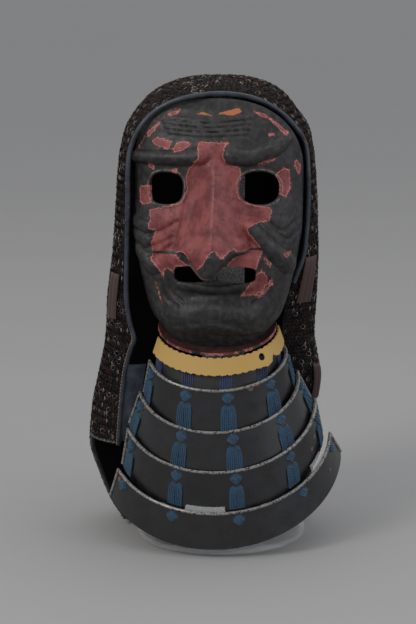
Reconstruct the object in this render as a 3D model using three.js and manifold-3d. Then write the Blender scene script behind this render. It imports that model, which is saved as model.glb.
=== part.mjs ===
// Samurai face guard on a clear stand: a lacquered full-face mask, a mail hood with a rolled leather
// edge, a gilt leather neck band and a throat guard of four laced lames.
// Millimetres, +Z up. The face looks along -Y, x = 0 is the middle of the mask and z = 0 is the table.
import * as THREE from "three";
import { mergeVertices } from "three/addons/utils/BufferGeometryUtils.js";
import Module from "manifold-3d";

const wasm = await Module();
wasm.setup();

// ---- driving dimensions -------------------------------------------------------------------------

const DEG = Math.PI / 180;
const GAP = 0.4; // clearance between pieces that touch
const SHIFT = { x: 7.49, y: -2.04 }; // puts the origin under the middle of the whole

// The face frame: u to the right, v up and w out of the face, from the mask's rear edge plane.
const FACE = { y: -33, z: 344, tilt: 6 * DEG };
const MASK = { shoulder: 30, crown: 97, archPower: 2.3, sectionPower: 2.3, foot: -158, wall: 3 };
const MASK_GRID = { columns: 34, rows: 38, hollowColumns: 14, hollowRows: 14 };
// The hollow runs on behind the rear edge and over the top, and follows the nose less closely.
const HOLLOW = { behind: 12, above: 4, noseShare: 0.85, noseFoot: -54 };
const CALM = { side: 0.45, top: 0.1 }; // how far from its edges the folds of the mask die away
// Half width of the mask and depth of its middle at each height.
const MASK_ROWS = [
  { v: 97, half: 83.5, depth: 25 },
  { v: 85, half: 83.5, depth: 31 },
  { v: 70, half: 83.5, depth: 37 },
  { v: 50, half: 83.5, depth: 43 },
  { v: 30, half: 83.5, depth: 45 },
  { v: 0, half: 83.5, depth: 44 },
  { v: -27, half: 83, depth: 45 },
  { v: -44, half: 80.5, depth: 46 },
  { v: -63, half: 77.5, depth: 47 },
  { v: -80, half: 73.5, depth: 45 },
  { v: -94, half: 70, depth: 41 },
  { v: -114, half: 62.5, depth: 42 },
  { v: -126, half: 53, depth: 38 },
  { v: -134, half: 47, depth: 28 },
  { v: -142, half: 41, depth: 20 },
  { v: -150, half: 36, depth: 13 },
  { v: -160, half: 30, depth: 8 },
];
// Folds of the face: a curve from (u0, v0) past (um, vm) to (u1, v1), its end radii and its height.
const FOLDS = [
  { name: "left brow", u0: -84, v0: 41, um: -50, vm: 38, u1: -16, v1: 42, r0: 7, r1: 9, h: 7 },
  { name: "right brow", u0: 18, v0: 42, um: 46, vm: 37, u1: 70, v1: 59, r0: 9, r1: 7, h: 7 },
  { name: "left socket", u0: -54, v0: 9, um: -47, vm: 9, u1: -40, v1: 10, r0: 22, r1: 20, h: -6 },
  { name: "right socket", u0: 38, v0: 11, um: 44, vm: 11, u1: 52, v1: 10, r0: 20, r1: 22, h: -6 },
  { name: "upper forehead fold", u0: -50, v0: 82, um: -5, vm: 78, u1: 42, v1: 82, r0: 4, r1: 4, h: 1.6 },
  { name: "lower forehead fold", u0: -50, v0: 72, um: -5, vm: 67, u1: 42, v1: 72, r0: 4, r1: 4, h: 1.6 },
  { name: "upper lip", u0: -40, v0: -56, um: 2, vm: -52, u1: 44, v1: -56, r0: 8, r1: 8, h: 3 },
  { name: "lower lip", u0: -36, v0: -83, um: 2, vm: -86, u1: 40, v1: -83, r0: 5, r1: 5, h: 4.5 },
  { name: "lip hollow", u0: -20, v0: -95, um: 2, vm: -96, u1: 24, v1: -95, r0: 8, r1: 8, h: -3 },
  { name: "chin", u0: -26, v0: -114, um: 2, vm: -106, u1: 30, v1: -114, r0: 16, r1: 16, h: 5 },
  { name: "right cheek roll", u0: 37, v0: -24, um: 52, vm: -44, u1: 74, v1: -62, r0: 8, r1: 9, h: 7 },
  { name: "right cheek fold", u0: 62, v0: -20, um: 70, vm: -38, u1: 82, v1: -26, r0: 5, r1: 5, h: 2.5 },
  { name: "left cheek roll", u0: -82, v0: -42, um: -74, vm: -62, u1: -60, v1: -68, r0: 8, r1: 8, h: 5 },
  { name: "left cheek fold", u0: -80, v0: -28, um: -64, vm: -38, u1: -42, v1: -26, r0: 6, r1: 6, h: 2.5 },
  { name: "left mouth fold", u0: -52, v0: -72, um: -50, vm: -96, u1: -30, v1: -104, r0: 5, r1: 5, h: 2.5 },
  { name: "right mouth fold", u0: 60, v0: -72, um: 56, vm: -96, u1: 34, v1: -104, r0: 5, r1: 5, h: 2.5 },
];
// The nose: half width and ridge height at each height, and how low its underside reaches off the middle.
const NOSE_ROWS = [
  { v: 40, half: 10, height: 0 },
  { v: 30, half: 11, height: 5 },
  { v: 10, half: 16, height: 13 },
  { v: -20, half: 25, height: 22 },
  { v: -45, half: 35, height: 28 },
  { v: -60, half: 36, height: 32 },
  { v: -74, half: 36, height: 31 },
  { v: -80, half: 36, height: 28 },
];
const NOSE_FOOT = [
  { off: 0, v: -76 },
  { off: 9, v: -70 },
  { off: 14, v: -63 },
  { off: 22, v: -51 },
  { off: 36, v: -46 },
];
const NOSE = { u: 1.5, footBlend: 4, sharpness: 1.15, lowest: -200 };
const EYES = [
  { u: -47, v: 9.5, half: 17, rise: 15.5, power: 2.8 },
  { u: 44, v: 11, half: 19.5, rise: 16, power: 2.3 },
];
const MOUTH = { u: 2.5, v: -73, half: 40, rise: 8, power: 5 };
const CUTS = { sides: 22, from: -20, eyesTo: 90, mouthTo: 57 }; // how far along w the openings are cut

// The neck rings lie in planes that dip to the front. Each is an ellipse of half width a and depth d from its
// front point (y, z); the stretch behind its widest point is flatter.
const DIP = 32.6 * DEG;
const REAR = 0.8;
const RINGS = {
  flangeRoot: { a: 45, d: 24, y: -60, z: 200 },
  flangeLip: { a: 59, d: 43, y: -76, z: 194.4 },
  gildTop: { a: 61, d: 44, y: -77.5, z: 193 },
  gildFoot: { a: 66.5, d: 48.5, y: -82, z: 175.3 },
  bandTop: { a: 59, d: 43, y: -75.5, z: 186 },
  bandFoot: { a: 63, d: 50, y: -80, z: 154 },
  rimA: { a: 67.9, d: 52.9, y: -84, z: 161.9 },
  rimB: { a: 79.4, d: 74.4, y: -92, z: 122.1 },
  rimC: { a: 95.8, d: 94.4, y: -100, z: 84.1 },
  rimD: { a: 109.9, d: 108.2, y: -108, z: 44.8 },
  footD: { a: 121, d: 129, y: -111, z: 9 },
};
// The chin flange and the two neck bands: end angles from the front, wall and facets round.
const FLANGE = { left: -98, right: 98, wall: 2, steps: 18, drop: 2 };
const GILT = { left: -70, right: 100, wall: 2, steps: 20 };
const BAND = { left: -72, right: 98, wall: 1.6, steps: 20 };
const LAME = { wall: 1.6, tail: 1.16, rimRadius: 1.5, steps: 17 };
// Each lame runs from its rim towards the next ring, between two angles from the front, and its tail passes
// behind the next lame's rim at a distance of lap.
const LAMES = [
  { name: "lame_1", from: "rimA", to: "rimB", left: -76, right: 108, lap: 5 },
  { name: "lame_2", from: "rimB", to: "rimC", left: -73, right: 103, lap: 5 },
  { name: "lame_3", from: "rimC", to: "rimD", left: -66, right: 98, lap: 8 },
  { name: "lame_4", from: "rimD", to: "footD", left: -61, right: 94, lap: 0 },
];
// Angle from the front at which each column of lacing crosses the inner band and the four lames.
const COLUMNS = [
  [-66, -66, -65, -58, -53],
  [-24, -22, -21, -20, -19],
  [12, 13, 15, 15, 15],
  [50, 53, 53, 51, 52],
  [86, 94, 92, 87, 86],
];
// Distances down each lame at which the lace comes out, goes in and comes out again.
const LACE = {
  width: 8, thick: 1.8, out: 4, back: 12, again: 18, ends: 8, knot: 1.6, slant: 0.2, clear: 0.5,
};
const SLOT = { width: 9.8, height: 4.8, out: 4, in: 5 };

// The hood: a bell of superellipse sections, widest at y, with its own half widths and depths on each side.
const HOOD = { x: -4, power: 2.2, wall: 3, backHem: 5, frontHem: 94, ventY: 4, below: 6, rowPower: 0.72 };
const HOOD_GRID = { sides: 30, rows: 20, hollowSides: 20, hollowRows: 11 };
const HOOD_ROWS = [
  { z: 459, left: 2, right: 2, y: 22, front: 2, frontRight: 2, back: 2 },
  { z: 457, left: 30, right: 27, y: 22, front: 34, frontRight: 34, back: 30 },
  { z: 451, left: 52, right: 47, y: 22, front: 58, frontRight: 58, back: 52 },
  { z: 442, left: 68, right: 62, y: 20, front: 76, frontRight: 76, back: 70 },
  { z: 428, left: 81, right: 74, y: 16, front: 88, frontRight: 86, back: 88 },
  { z: 408, left: 92, right: 88, y: 9, front: 92, frontRight: 92, back: 104 },
  { z: 374, left: 98, right: 94.5, y: 2, front: 92, frontRight: 98, back: 118 },
  { z: 330, left: 101, right: 97, y: 2, front: 90, frontRight: 80, back: 120 },
  { z: 283, left: 105, right: 98, y: 2, front: 82, frontRight: 66, back: 120 },
  { z: 240, left: 111, right: 96, y: 8, front: 88, frontRight: 48, back: 112 },
  { z: 200, left: 114, right: 94, y: 14, front: 88, frontRight: 30, back: 104 },
  { z: 160, left: 122, right: 100, y: 18, front: 84, frontRight: 20, back: 100 },
  { z: 124, left: 130, right: 96, y: 22, front: 84, frontRight: 20, back: 95 },
  { z: 88, left: 133, right: 96, y: 22, front: 80, frontRight: 20, back: 93 },
  { z: 56, left: 124, right: 92, y: 22, front: 76, frontRight: 20, back: 90 },
  { z: 27, left: 112, right: 86, y: 22, front: 72, frontRight: 20, back: 85 },
  { z: 0, left: 98, right: 78, y: 22, front: 66, frontRight: 20, back: 78 },
];
// The edge of the face opening, seen from the front, from the left hem over the forehead to the right hem.
const OPENING = [
  { x: -100, z: 94 },
  { x: -98, z: 120 },
  { x: -95, z: 150 },
  { x: -91, z: 175 },
  { x: -85, z: 195 },
  { x: -81, z: 206 },
  { x: -85, z: 222 },
  { x: -88, z: 245 },
  { x: -88, z: 280 },
  { x: -86, z: 340 },
  { x: -85.5, z: 380 },
  { x: -81.5, z: 400 },
  { x: -70, z: 420 },
  { x: -53, z: 434.5 },
  { x: -30, z: 443.5 },
  { x: 0, z: 447.5 },
  { x: 28, z: 445 },
  { x: 50, z: 436.5 },
  { x: 70, z: 420 },
  { x: 83.5, z: 400 },
  { x: 88, z: 370 },
  { x: 88, z: 330 },
  { x: 84.5, z: 290 },
  { x: 77, z: 268 },
  { x: 66, z: 236 },
  { x: 62, z: 205 },
  { x: 62, z: 165 },
  { x: 64, z: 130 },
  { x: 66, z: 94 },
];
const PIPING = { radius: 2.5, forward: 3.2, sides: 6, steps: 36, rightEnd: 262 };
const FACING = { width: 17, wall: 1.5, top: 176, foot: 97, rows: 6, aside: 1.6, back: 2, turn: 7 };
// Ribbed patches let into the mail: side angles from the front of the hood, heights, lean and ribs.
const PATCHES = [
  { name: "ribbed_patch_left", from: -71, to: -57, foot: 222, top: 268, lean: 0, ribs: 2 },
  { name: "ribbed_patch_right_upper", from: 64, to: 82, foot: 239, top: 286, lean: 10, ribs: 3 },
  { name: "ribbed_patch_right_lower", from: 70, to: 92, foot: 134, top: 172, lean: 0, ribs: 3 },
];
const PATCH = { lift: 1, wall: 2.6, rib: 1 };

const BASE = { halfWidth: 84, front: -98, rear: 92, thick: 5, sides: 28 };
const UPRIGHT = { halfWidth: 21, thick: 5, y: 16, top: 446 };
const SKIRT = { wall: 3, inset: 1.2, below: 15, foot: 2, left: -56, right: 88, steps: 16 };
const TAB = { rise: 3.5, root: 3, steps: 4 };
const SKIRT_TABS = [
  { from: -14, to: 9 },
  { from: 64, to: 78 },
];

const COLOURS = {
  lacquer: { color: 0x6e3a3a, roughness: 0.5, metalness: 0 },
  blackLacquer: { color: 0x1c1c1f, roughness: 0.35, metalness: 0 },
  mail: { color: 0x15120f, roughness: 0.6, metalness: 0.6 },
  leather: { color: 0x2b3038, roughness: 0.55, metalness: 0 },
  brownLeather: { color: 0x3a2620, roughness: 0.6, metalness: 0 },
  gilt: { color: 0xb98f4a, roughness: 0.5, metalness: 0.2 },
  lace: { color: 0x0c2c48, roughness: 0.85, metalness: 0 },
  clear: { color: 0xdfe6ea, roughness: 0.05, metalness: 0 },
};

// ---- helpers ------------------------------------------------------------------------------------

const lerp = (a, b, t) => a + (b - a) * t;
const clamp01 = (t) => Math.min(1, Math.max(0, t));
const smooth = (t) => clamp01(t) ** 2 * (3 - 2 * clamp01(t));

// The columns of a table at one value of its key, on a smooth curve that doesn't overshoot.
function rowAt(rows, key, at) {
  const down = rows[0][key] > rows[rows.length - 1][key];
  const before = (value) => (down ? value > at : value < at);
  const i = Math.min(rows.length - 2, Math.max(0, rows.findIndex((r) => !before(r[key])) - 1));
  const t = clamp01((at - rows[i][key]) / (rows[i + 1][key] - rows[i][key]));
  const found = {};
  for (const name of Object.keys(rows[0])) {
    if (typeof rows[0][name] !== "number" || name === key) continue;
    const slope = (k) => {
      if (k === 0 || k === rows.length - 1) return 0;
      const one = (rows[k][name] - rows[k - 1][name]) / (rows[k][key] - rows[k - 1][key]);
      const two = (rows[k + 1][name] - rows[k][name]) / (rows[k + 1][key] - rows[k][key]);
      return one * two <= 0 ? 0 : (2 * one * two) / (one + two);
    };
    const step = rows[i + 1][key] - rows[i][key];
    const a = rows[i][name];
    const b = rows[i + 1][name];
    const t2 = t * t;
    const t3 = t2 * t;
    found[name] =
      a * (2 * t3 - 3 * t2 + 1) + b * (3 * t2 - 2 * t3) +
      step * (slope(i) * (t3 - 2 * t2 + t) + slope(i + 1) * (t3 - t2));
  }
  return found;
}

// A closed mesh from points and quads or triangles, turned so that its faces point out.
function closedGeometry(points, faces) {
  const triangles = faces.flatMap((f) => (f.length === 3 ? [f] : [[f[0], f[1], f[2]], [f[0], f[2], f[3]]]));
  const cross = new THREE.Vector3();
  const wedge = ([a, b, c]) => points[a].dot(cross.crossVectors(points[b], points[c]));
  const volume = triangles.reduce((sum, triangle) => sum + wedge(triangle), 0);
  const index = triangles.flatMap(([a, b, c]) => (volume < 0 ? [a, c, b] : [a, b, c]));
  return new THREE.BufferGeometry().setFromPoints(points).setIndex(index);
}

// A sheet with thickness, from a grid of points on its outside and one on its inside.
function sheetGeometry(outside, inside) {
  const rows = outside.length;
  const cols = outside[0].length;
  const points = [...outside.flat(), ...inside.flat()];
  const out = (i, j) => i * cols + j;
  const inn = (i, j) => rows * cols + i * cols + j;
  const faces = [];
  for (let i = 0; i + 1 < rows; i++)
    for (let j = 0; j + 1 < cols; j++) {
      faces.push([out(i, j), out(i, j + 1), out(i + 1, j + 1), out(i + 1, j)]);
      faces.push([inn(i, j), inn(i + 1, j), inn(i + 1, j + 1), inn(i, j + 1)]);
    }
  for (let j = 0; j + 1 < cols; j++) {
    faces.push([out(0, j), inn(0, j), inn(0, j + 1), out(0, j + 1)]);
    faces.push([out(rows - 1, j), out(rows - 1, j + 1), inn(rows - 1, j + 1), inn(rows - 1, j)]);
  }
  for (let i = 0; i + 1 < rows; i++) {
    faces.push([out(i, 0), out(i + 1, 0), inn(i + 1, 0), inn(i, 0)]);
    faces.push([out(i, cols - 1), inn(i, cols - 1), inn(i + 1, cols - 1), out(i + 1, cols - 1)]);
  }
  return closedGeometry(points, faces);
}

// A bar whose section is a loop of points at each of several places along it.
function loftGeometry(sections) {
  const n = sections[0].length;
  const faces = [];
  for (let i = 0; i + 1 < sections.length; i++)
    for (let j = 0; j < n; j++) {
      const k = (j + 1) % n;
      faces.push([i * n + j, i * n + k, (i + 1) * n + k, (i + 1) * n + j]);
    }
  const last = (sections.length - 1) * n;
  for (let j = 1; j + 1 < n; j++) {
    faces.push([0, j + 1, j]);
    faces.push([last, last + j, last + j + 1]);
  }
  return closedGeometry(sections.flat(), faces);
}

// A stack of closed loops with both ends capped to a middle point.
function stackGeometry(loops) {
  const n = loops[0].length;
  const points = loops.flat();
  const faces = [];
  for (let i = 0; i + 1 < loops.length; i++)
    for (let j = 0; j < n; j++) {
      const k = (j + 1) % n;
      faces.push([i * n + j, i * n + k, (i + 1) * n + k, (i + 1) * n + j]);
    }
  for (const [start, way] of [[0, 1], [(loops.length - 1) * n, -1]]) {
    const middle = points.length;
    const total = points.slice(start, start + n).reduce((sum, p) => sum.add(p), new THREE.Vector3());
    points.push(total.divideScalar(n));
    for (let j = 0; j < n; j++) {
      const k = (j + 1) % n;
      faces.push(way > 0 ? [middle, start + k, start + j] : [middle, start + j, start + k]);
    }
  }
  return closedGeometry(points, faces);
}

function solid(geometry) {
  const bare = geometry.clone();
  bare.deleteAttribute("normal");
  bare.deleteAttribute("uv");
  const merged = mergeVertices(bare, 1e-4);
  return new wasm.Manifold(
    new wasm.Mesh({
      numProp: 3,
      vertProperties: new Float32Array(merged.attributes.position.array),
      triVerts: new Uint32Array(merged.index.array),
    }),
  );
}

function geometryOf(shape) {
  const made = shape.getMesh();
  return new THREE.BufferGeometry()
    .setAttribute("position", new THREE.BufferAttribute(new Float32Array(made.vertProperties), 3))
    .setIndex(new THREE.BufferAttribute(new Uint32Array(made.triVerts), 1));
}

const group = new THREE.Group();
group.position.set(SHIFT.x, SHIFT.y, 0);

function add(name, geometry, finish) {
  const drawn = geometry.index ? geometry.toNonIndexed() : geometry.clone();
  drawn.computeVertexNormals();
  const mesh = new THREE.Mesh(drawn, new THREE.MeshStandardMaterial(COLOURS[finish]));
  mesh.name = name;
  group.add(mesh);
}

// ---- the mask -----------------------------------------------------------------------------------

function toWorld(u, v, w) {
  const c = Math.cos(FACE.tilt);
  const s = Math.sin(FACE.tilt);
  return new THREE.Vector3(u, FACE.y + v * s - w * c, FACE.z + v * c + w * s);
}

// Distance from (u, v) to a fold's curve, and how far along the curve it is.
function nearestOnFold(fold, u, v) {
  let best = { d: Infinity, t: 0 };
  let pu = fold.u0;
  let pv = fold.v0;
  const pieces = 8;
  for (let k = 1; k <= pieces; k++) {
    const t = k / pieces;
    const qu = (1 - t) ** 2 * fold.u0 + 2 * t * (1 - t) * fold.um + t * t * fold.u1;
    const qv = (1 - t) ** 2 * fold.v0 + 2 * t * (1 - t) * fold.vm + t * t * fold.v1;
    const du = qu - pu;
    const dv = qv - pv;
    const s = clamp01(((u - pu) * du + (v - pv) * dv) / (du * du + dv * dv));
    const d = Math.hypot(u - pu - s * du, v - pv - s * dv);
    if (d < best.d) best = { d, t: (k - 1 + s) / pieces };
    pu = qu;
    pv = qv;
  }
  return best;
}

function foldHeight(fold, u, v) {
  const { d, t } = nearestOnFold(fold, u, v);
  return fold.h * Math.exp(-1.5 * (d / lerp(fold.r0, fold.r1, t)) ** 2);
}

function noseHeight(u, v, lowest) {
  const off = Math.abs(u - NOSE.u);
  const { half, height } = rowAt(NOSE_ROWS, "v", v);
  if (off >= half || v > NOSE_ROWS[0].v) return 0;
  const foot = Math.max(lowest, rowAt(NOSE_FOOT, "off", off).v);
  const end = smooth((v - foot + NOSE.footBlend / 2) / NOSE.footBlend);
  return height * (1 - off / half) ** NOSE.sharpness * end;
}

const HOLLOWS = FOLDS.filter((fold) => fold.name.endsWith("socket") || fold.name === "lip hollow");

// A point of the mask: side is the angle round the section, rise goes from its foot to its top edge.
function maskPoint(side, rise, inset) {
  const across = Math.sign(side) * Math.abs(Math.sin(side)) ** (2 / MASK.sectionPower);
  const arch = (1 - Math.abs(across) ** MASK.archPower) ** (1 / MASK.archPower);
  const top = lerp(MASK.shoulder, MASK.crown, arch);
  const v = lerp(MASK.foot, top, rise);
  const { half, depth } = rowAt(MASK_ROWS, "v", v);
  let u = half * across;
  let w = depth * Math.cos(side) ** (2 / MASK.sectionPower);
  const out = new THREE.Vector2(Math.sin(side) * depth, Math.cos(side) * half).normalize();
  const calm = smooth(Math.cos(side) / CALM.side) * smooth((1 - rise) / CALM.top);
  let height = 0;
  if (inset > 0) {
    for (const fold of HOLLOWS) height += foldHeight(fold, u, v);
    height += HOLLOW.noseShare * noseHeight(u, v, HOLLOW.noseFoot) - inset;
  } else {
    for (const fold of FOLDS) height += foldHeight(fold, u, v) * calm;
    height += noseHeight(u, v, NOSE.lowest);
  }
  u += out.x * height;
  w += out.y * height;
  return [u, v, w];
}

// The mask's outer form, or with an inset the hollow behind it.
function maskVolume(columns, rows, inset) {
  const loops = [];
  for (let i = 0; i <= rows; i++) {
    const loop = [];
    for (let j = 0; j <= columns; j++) {
      const [u, v, w] = maskPoint(lerp(-90, 90, j / columns) * DEG, i / rows, inset);
      const lift = inset > 0 && i === rows ? HOLLOW.above : 0;
      loop.push(toWorld(u, v + lift, j === 0 || j === columns ? 0 : w));
    }
    if (inset > 0) {
      const [left] = maskPoint(-90 * DEG, i / rows, inset);
      const [right, v] = maskPoint(90 * DEG, i / rows, inset);
      loop.push(toWorld(right, v, -HOLLOW.behind), toWorld(left, v, -HOLLOW.behind));
    }
    loops.push(loop);
  }
  return solid(stackGeometry(loops));
}

// A prism along the face's own axis with a superellipse outline, from w0 to w1.
function facePrism({ u, v, half, rise, power }, w0, w1) {
  const loop = (w) =>
    Array.from({ length: CUTS.sides }, (_, k) => {
      const a = ((k + 0.5) / CUTS.sides) * 2 * Math.PI;
      const x = Math.sign(Math.cos(a)) * Math.abs(Math.cos(a)) ** (2 / power);
      const y = Math.sign(Math.sin(a)) * Math.abs(Math.sin(a)) ** (2 / power);
      return toWorld(u + half * x, v + rise * y, w);
    });
  return solid(loftGeometry([loop(w0), loop(w1)]));
}

// A big block below the dipping plane through a ring's front point.
function belowRing(ring, drop) {
  const size = 400; // larger than the mask each way
  const block = new THREE.BoxGeometry(size, size, size);
  block.translate(0, 0, -size / 2);
  block.rotateX(DIP);
  block.translate(0, ring.y, ring.z - drop);
  return solid(block);
}

// ---- the neck rings -----------------------------------------------------------------------------

// The point of a ring at an angle from its front.
function ringPoint(ring, angle) {
  const c = Math.cos(angle * DEG);
  const forward = ring.d * (c < 0 ? REAR : 1) * c - ring.d;
  return new THREE.Vector3(
    ring.a * Math.sin(angle * DEG),
    ring.y - forward * Math.cos(DIP),
    ring.z - forward * Math.sin(DIP),
  );
}

const mixRings = (one, two, t) =>
  Object.fromEntries(["a", "d", "y", "z"].map((key) => [key, lerp(one[key], two[key], t)]));

const grow = (ring, by) => ({
  a: ring.a + by,
  d: ring.d + by,
  y: ring.y - by * Math.cos(DIP),
  z: ring.z - by * Math.sin(DIP),
});

// The wall of a lame: far is the distance down it from its rim, off the distance out from its outer face.
function lameShape(lame) {
  const top = RINGS[lame.from];
  const next = RINGS[lame.to];
  const foot = lame.lap === 0 ? next : mixRings(top, grow(next, -lame.lap), LAME.tail);
  const length = new THREE.Vector2(foot.y - top.y, foot.z - top.z).length();
  return {
    length,
    point: (angle, far, off) => ringPoint(grow(mixRings(top, foot, far / length), off), angle),
  };
}

// A band between two rings, with its wall inside them.
function ringStrip(ringTop, ringFoot, { left, right, wall, steps }) {
  const grid = (off) =>
    [ringTop, ringFoot].map((ring) =>
      Array.from({ length: steps + 1 }, (_, j) => ringPoint(grow(ring, off), lerp(left, right, j / steps))),
    );
  return sheetGeometry(grid(0), grid(-wall));
}

// A block through a lame's wall, for one slot.
function slotCutter(shape, angle, far) {
  const middle = shape.point(angle, far, 0);
  const along = shape.point(angle + 2, far, 0).sub(shape.point(angle - 2, far, 0)).normalize();
  const out = shape.point(angle, far, 5).sub(middle).normalize();
  const up = new THREE.Vector3().crossVectors(out, along).normalize();
  const corner = (x, y, z) =>
    middle
      .clone()
      .addScaledVector(along, (x * SLOT.width) / 2)
      .addScaledVector(up, (y * SLOT.height) / 2)
      .addScaledVector(out, z);
  const loop = (z) => [corner(-1, -1, z), corner(1, -1, z), corner(1, 1, z), corner(-1, 1, z)];
  return solid(loftGeometry([loop(-SLOT.in), loop(SLOT.out)]));
}

function lameGeometry(lame, index) {
  const shape = lameShape(lame);
  const w = LAME.wall;
  const r = LAME.rimRadius;
  // The section: distance down the lame and out from its face, with a rolled rim at the top.
  const profile = [
    [shape.length, 0],
    [r + 0.9, 0],
    [r, r * 0.9],
    [0, r * 1.2],
    [-r * 0.5, r * 0.2],
    [-r * 0.3, -w],
    [shape.length, -w],
  ];
  const sections = Array.from({ length: LAME.steps + 1 }, (_, j) =>
    profile.map(([far, off]) => shape.point(lerp(lame.left, lame.right, j / LAME.steps), far, off)),
  );
  let made = solid(loftGeometry(sections));
  const last = index === LAMES.length - 1;
  const levels = last ? [LACE.out, LACE.back] : [LACE.out, LACE.back, LACE.again];
  for (const column of COLUMNS)
    for (const far of levels) made = made.subtract(slotCutter(shape, column[index + 1], far));
  return geometryOf(made);
}

// ---- the lacing ---------------------------------------------------------------------------------

// One column of lacing: it comes out, goes in and comes out again in each lame on its way down.
function laceGeometry(column, shapes) {
  const inside = -LAME.wall - LACE.thick / 2 - LACE.clear;
  const outside = LACE.thick / 2 + GAP;
  const knot = outside + LACE.knot;
  const stops = [];
  const put = (k, far, off) => stops.push({ k, far, off });
  put(0, LACE.ends, outside);
  put(0, shapes[0].length - LACE.ends, outside);
  for (let k = 1; k < shapes.length; k++) {
    put(k, LACE.out - 2 * LACE.slant, inside);
    put(k, LACE.out, knot);
    put(k, LACE.back, knot);
    put(k, LACE.back + LACE.slant, inside);
    if (k === shapes.length - 1) break;
    put(k, LACE.again - LACE.slant, inside);
    put(k, LACE.again + LACE.slant, outside);
    put(k, shapes[k].length - LACE.ends, outside);
  }
  const centre = stops.map(({ k, far, off }) => shapes[k].point(column[k], far, off));
  const half = LACE.width / 2;
  const sections = centre.map((p, i) => {
    const { k, far, off } = stops[i];
    const to = (turn) => shapes[k].point(column[k] + turn, far, off);
    const side = to(2).sub(to(-2)).normalize();
    const ahead = centre[Math.min(i + 1, centre.length - 1)].clone().sub(p);
    const behind = p.clone().sub(centre[Math.max(i - 1, 0)]);
    if (ahead.lengthSq() === 0) ahead.copy(behind);
    if (behind.lengthSq() === 0) behind.copy(ahead);
    const n1 = new THREE.Vector3().crossVectors(behind, side).normalize();
    const n2 = new THREE.Vector3().crossVectors(ahead, side).normalize();
    const n = n1.clone().add(n2).normalize();
    const reach = LACE.thick / 2 / Math.max(0.55, n.dot(n1)); // a sharp bend keeps its thickness
    return [[-1, -1], [1, -1], [1, 1], [-1, 1]].map(([x, y]) =>
      p.clone().addScaledVector(side, x * half).addScaledVector(n, y * reach),
    );
  });
  return loftGeometry(sections);
}

// ---- the hood -----------------------------------------------------------------------------------

// A point of the bell at an angle from its front, drawn in by inset.
function hoodPoint(angle, z, inset = 0) {
  const row = rowAt(HOOD_ROWS, "z", z);
  const s = Math.sin(angle);
  const c = Math.cos(angle);
  const bend = (t) => Math.sign(t) * Math.abs(t) ** (2 / HOOD.power);
  const right = smooth((s + 1) / 2);
  const front = lerp(row.front, row.frontRight, right);
  const wide = Math.max(1, (s < 0 ? row.left : row.right) - inset);
  const deep = Math.max(1, (c > 0 ? front : row.back) - inset);
  return new THREE.Vector3(HOOD.x + wide * bend(s), row.y - deep * bend(c), z);
}

// Where the bell's front lies behind a point (x, z) of the opening's edge.
function hoodFront(x, z) {
  let low = x < HOOD.x ? -Math.PI / 2 : 0;
  let high = x < HOOD.x ? 0 : Math.PI / 2;
  for (let k = 0; k < 40; k++) {
    const middle = (low + high) / 2;
    if (hoodPoint(middle, z).x < x) low = middle;
    else high = middle;
  }
  return hoodPoint((low + high) / 2, z);
}

function hoodVolume(sides, rows, inset) {
  const top = HOOD_ROWS[0].z;
  const loops = [];
  for (let i = 0; i <= rows; i++) {
    const t = i / rows;
    const fall = (1 - Math.cos((t * Math.PI) / 2)) ** HOOD.rowPower;
    const z = top - inset - (top - inset + HOOD.below) * fall;
    loops.push(Array.from({ length: sides }, (_, j) => {
      const p = hoodPoint((j / sides) * 2 * Math.PI, Math.min(top, z + inset * (1 - t)), inset);
      return new THREE.Vector3(p.x, p.y, z);
    }));
  }
  return solid(stackGeometry(loops));
}

function openingCurve(steps) {
  const points = OPENING.map(({ x, z }) => new THREE.Vector3(x, 0, z));
  return new THREE.CatmullRomCurve3(points, false, "centripetal").getPoints(steps);
}

function hoodGeometry() {
  const { sides, rows, hollowSides, hollowRows } = HOOD_GRID;
  const shell = hoodVolume(sides, rows, 0).subtract(hoodVolume(hollowSides, hollowRows, HOOD.wall));
  const reach = 200; // past the hood on every side
  const outline = openingCurve(2 * (OPENING.length - 1)).map((p) => new THREE.Vector2(p.x, p.z));
  outline.push(new THREE.Vector2(reach, HOOD.frontHem), new THREE.Vector2(reach, -reach));
  outline.push(new THREE.Vector2(-reach, -reach), new THREE.Vector2(-reach, HOOD.frontHem));
  const face = new THREE.ExtrudeGeometry(new THREE.Shape(outline), { depth: reach, bevelEnabled: false });
  face.rotateX(Math.PI / 2); // the outline's y becomes z, and the prism runs towards -Y
  face.translate(0, HOOD.ventY, 0);
  const floor = new THREE.BoxGeometry(2 * reach, 2 * reach, reach).translate(0, 0, HOOD.backHem - reach / 2);
  return geometryOf(shell.subtract(solid(face)).subtract(solid(floor)));
}

function pipingGeometry() {
  const points = openingCurve(PIPING.steps).filter((p) => p.x < 0 || p.z > PIPING.rightEnd);
  const path = points.map(({ x, z }) => new THREE.Vector3(x, hoodFront(x, z).y - PIPING.forward, z));
  const sections = path.map((p, i) => {
    const ahead = path[Math.min(i + 1, path.length - 1)];
    const along = ahead.clone().sub(path[Math.max(i - 1, 0)]).normalize();
    const one = new THREE.Vector3().crossVectors(along, new THREE.Vector3(0, 1, 0)).normalize();
    const two = new THREE.Vector3().crossVectors(along, one).normalize();
    return Array.from({ length: PIPING.sides }, (_, k) => {
      const a = (k / PIPING.sides) * 2 * Math.PI;
      const [x, y] = [PIPING.radius * Math.cos(a), PIPING.radius * Math.sin(a)];
      return p.clone().addScaledVector(one, x).addScaledVector(two, y);
    });
  });
  return loftGeometry(sections);
}

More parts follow.
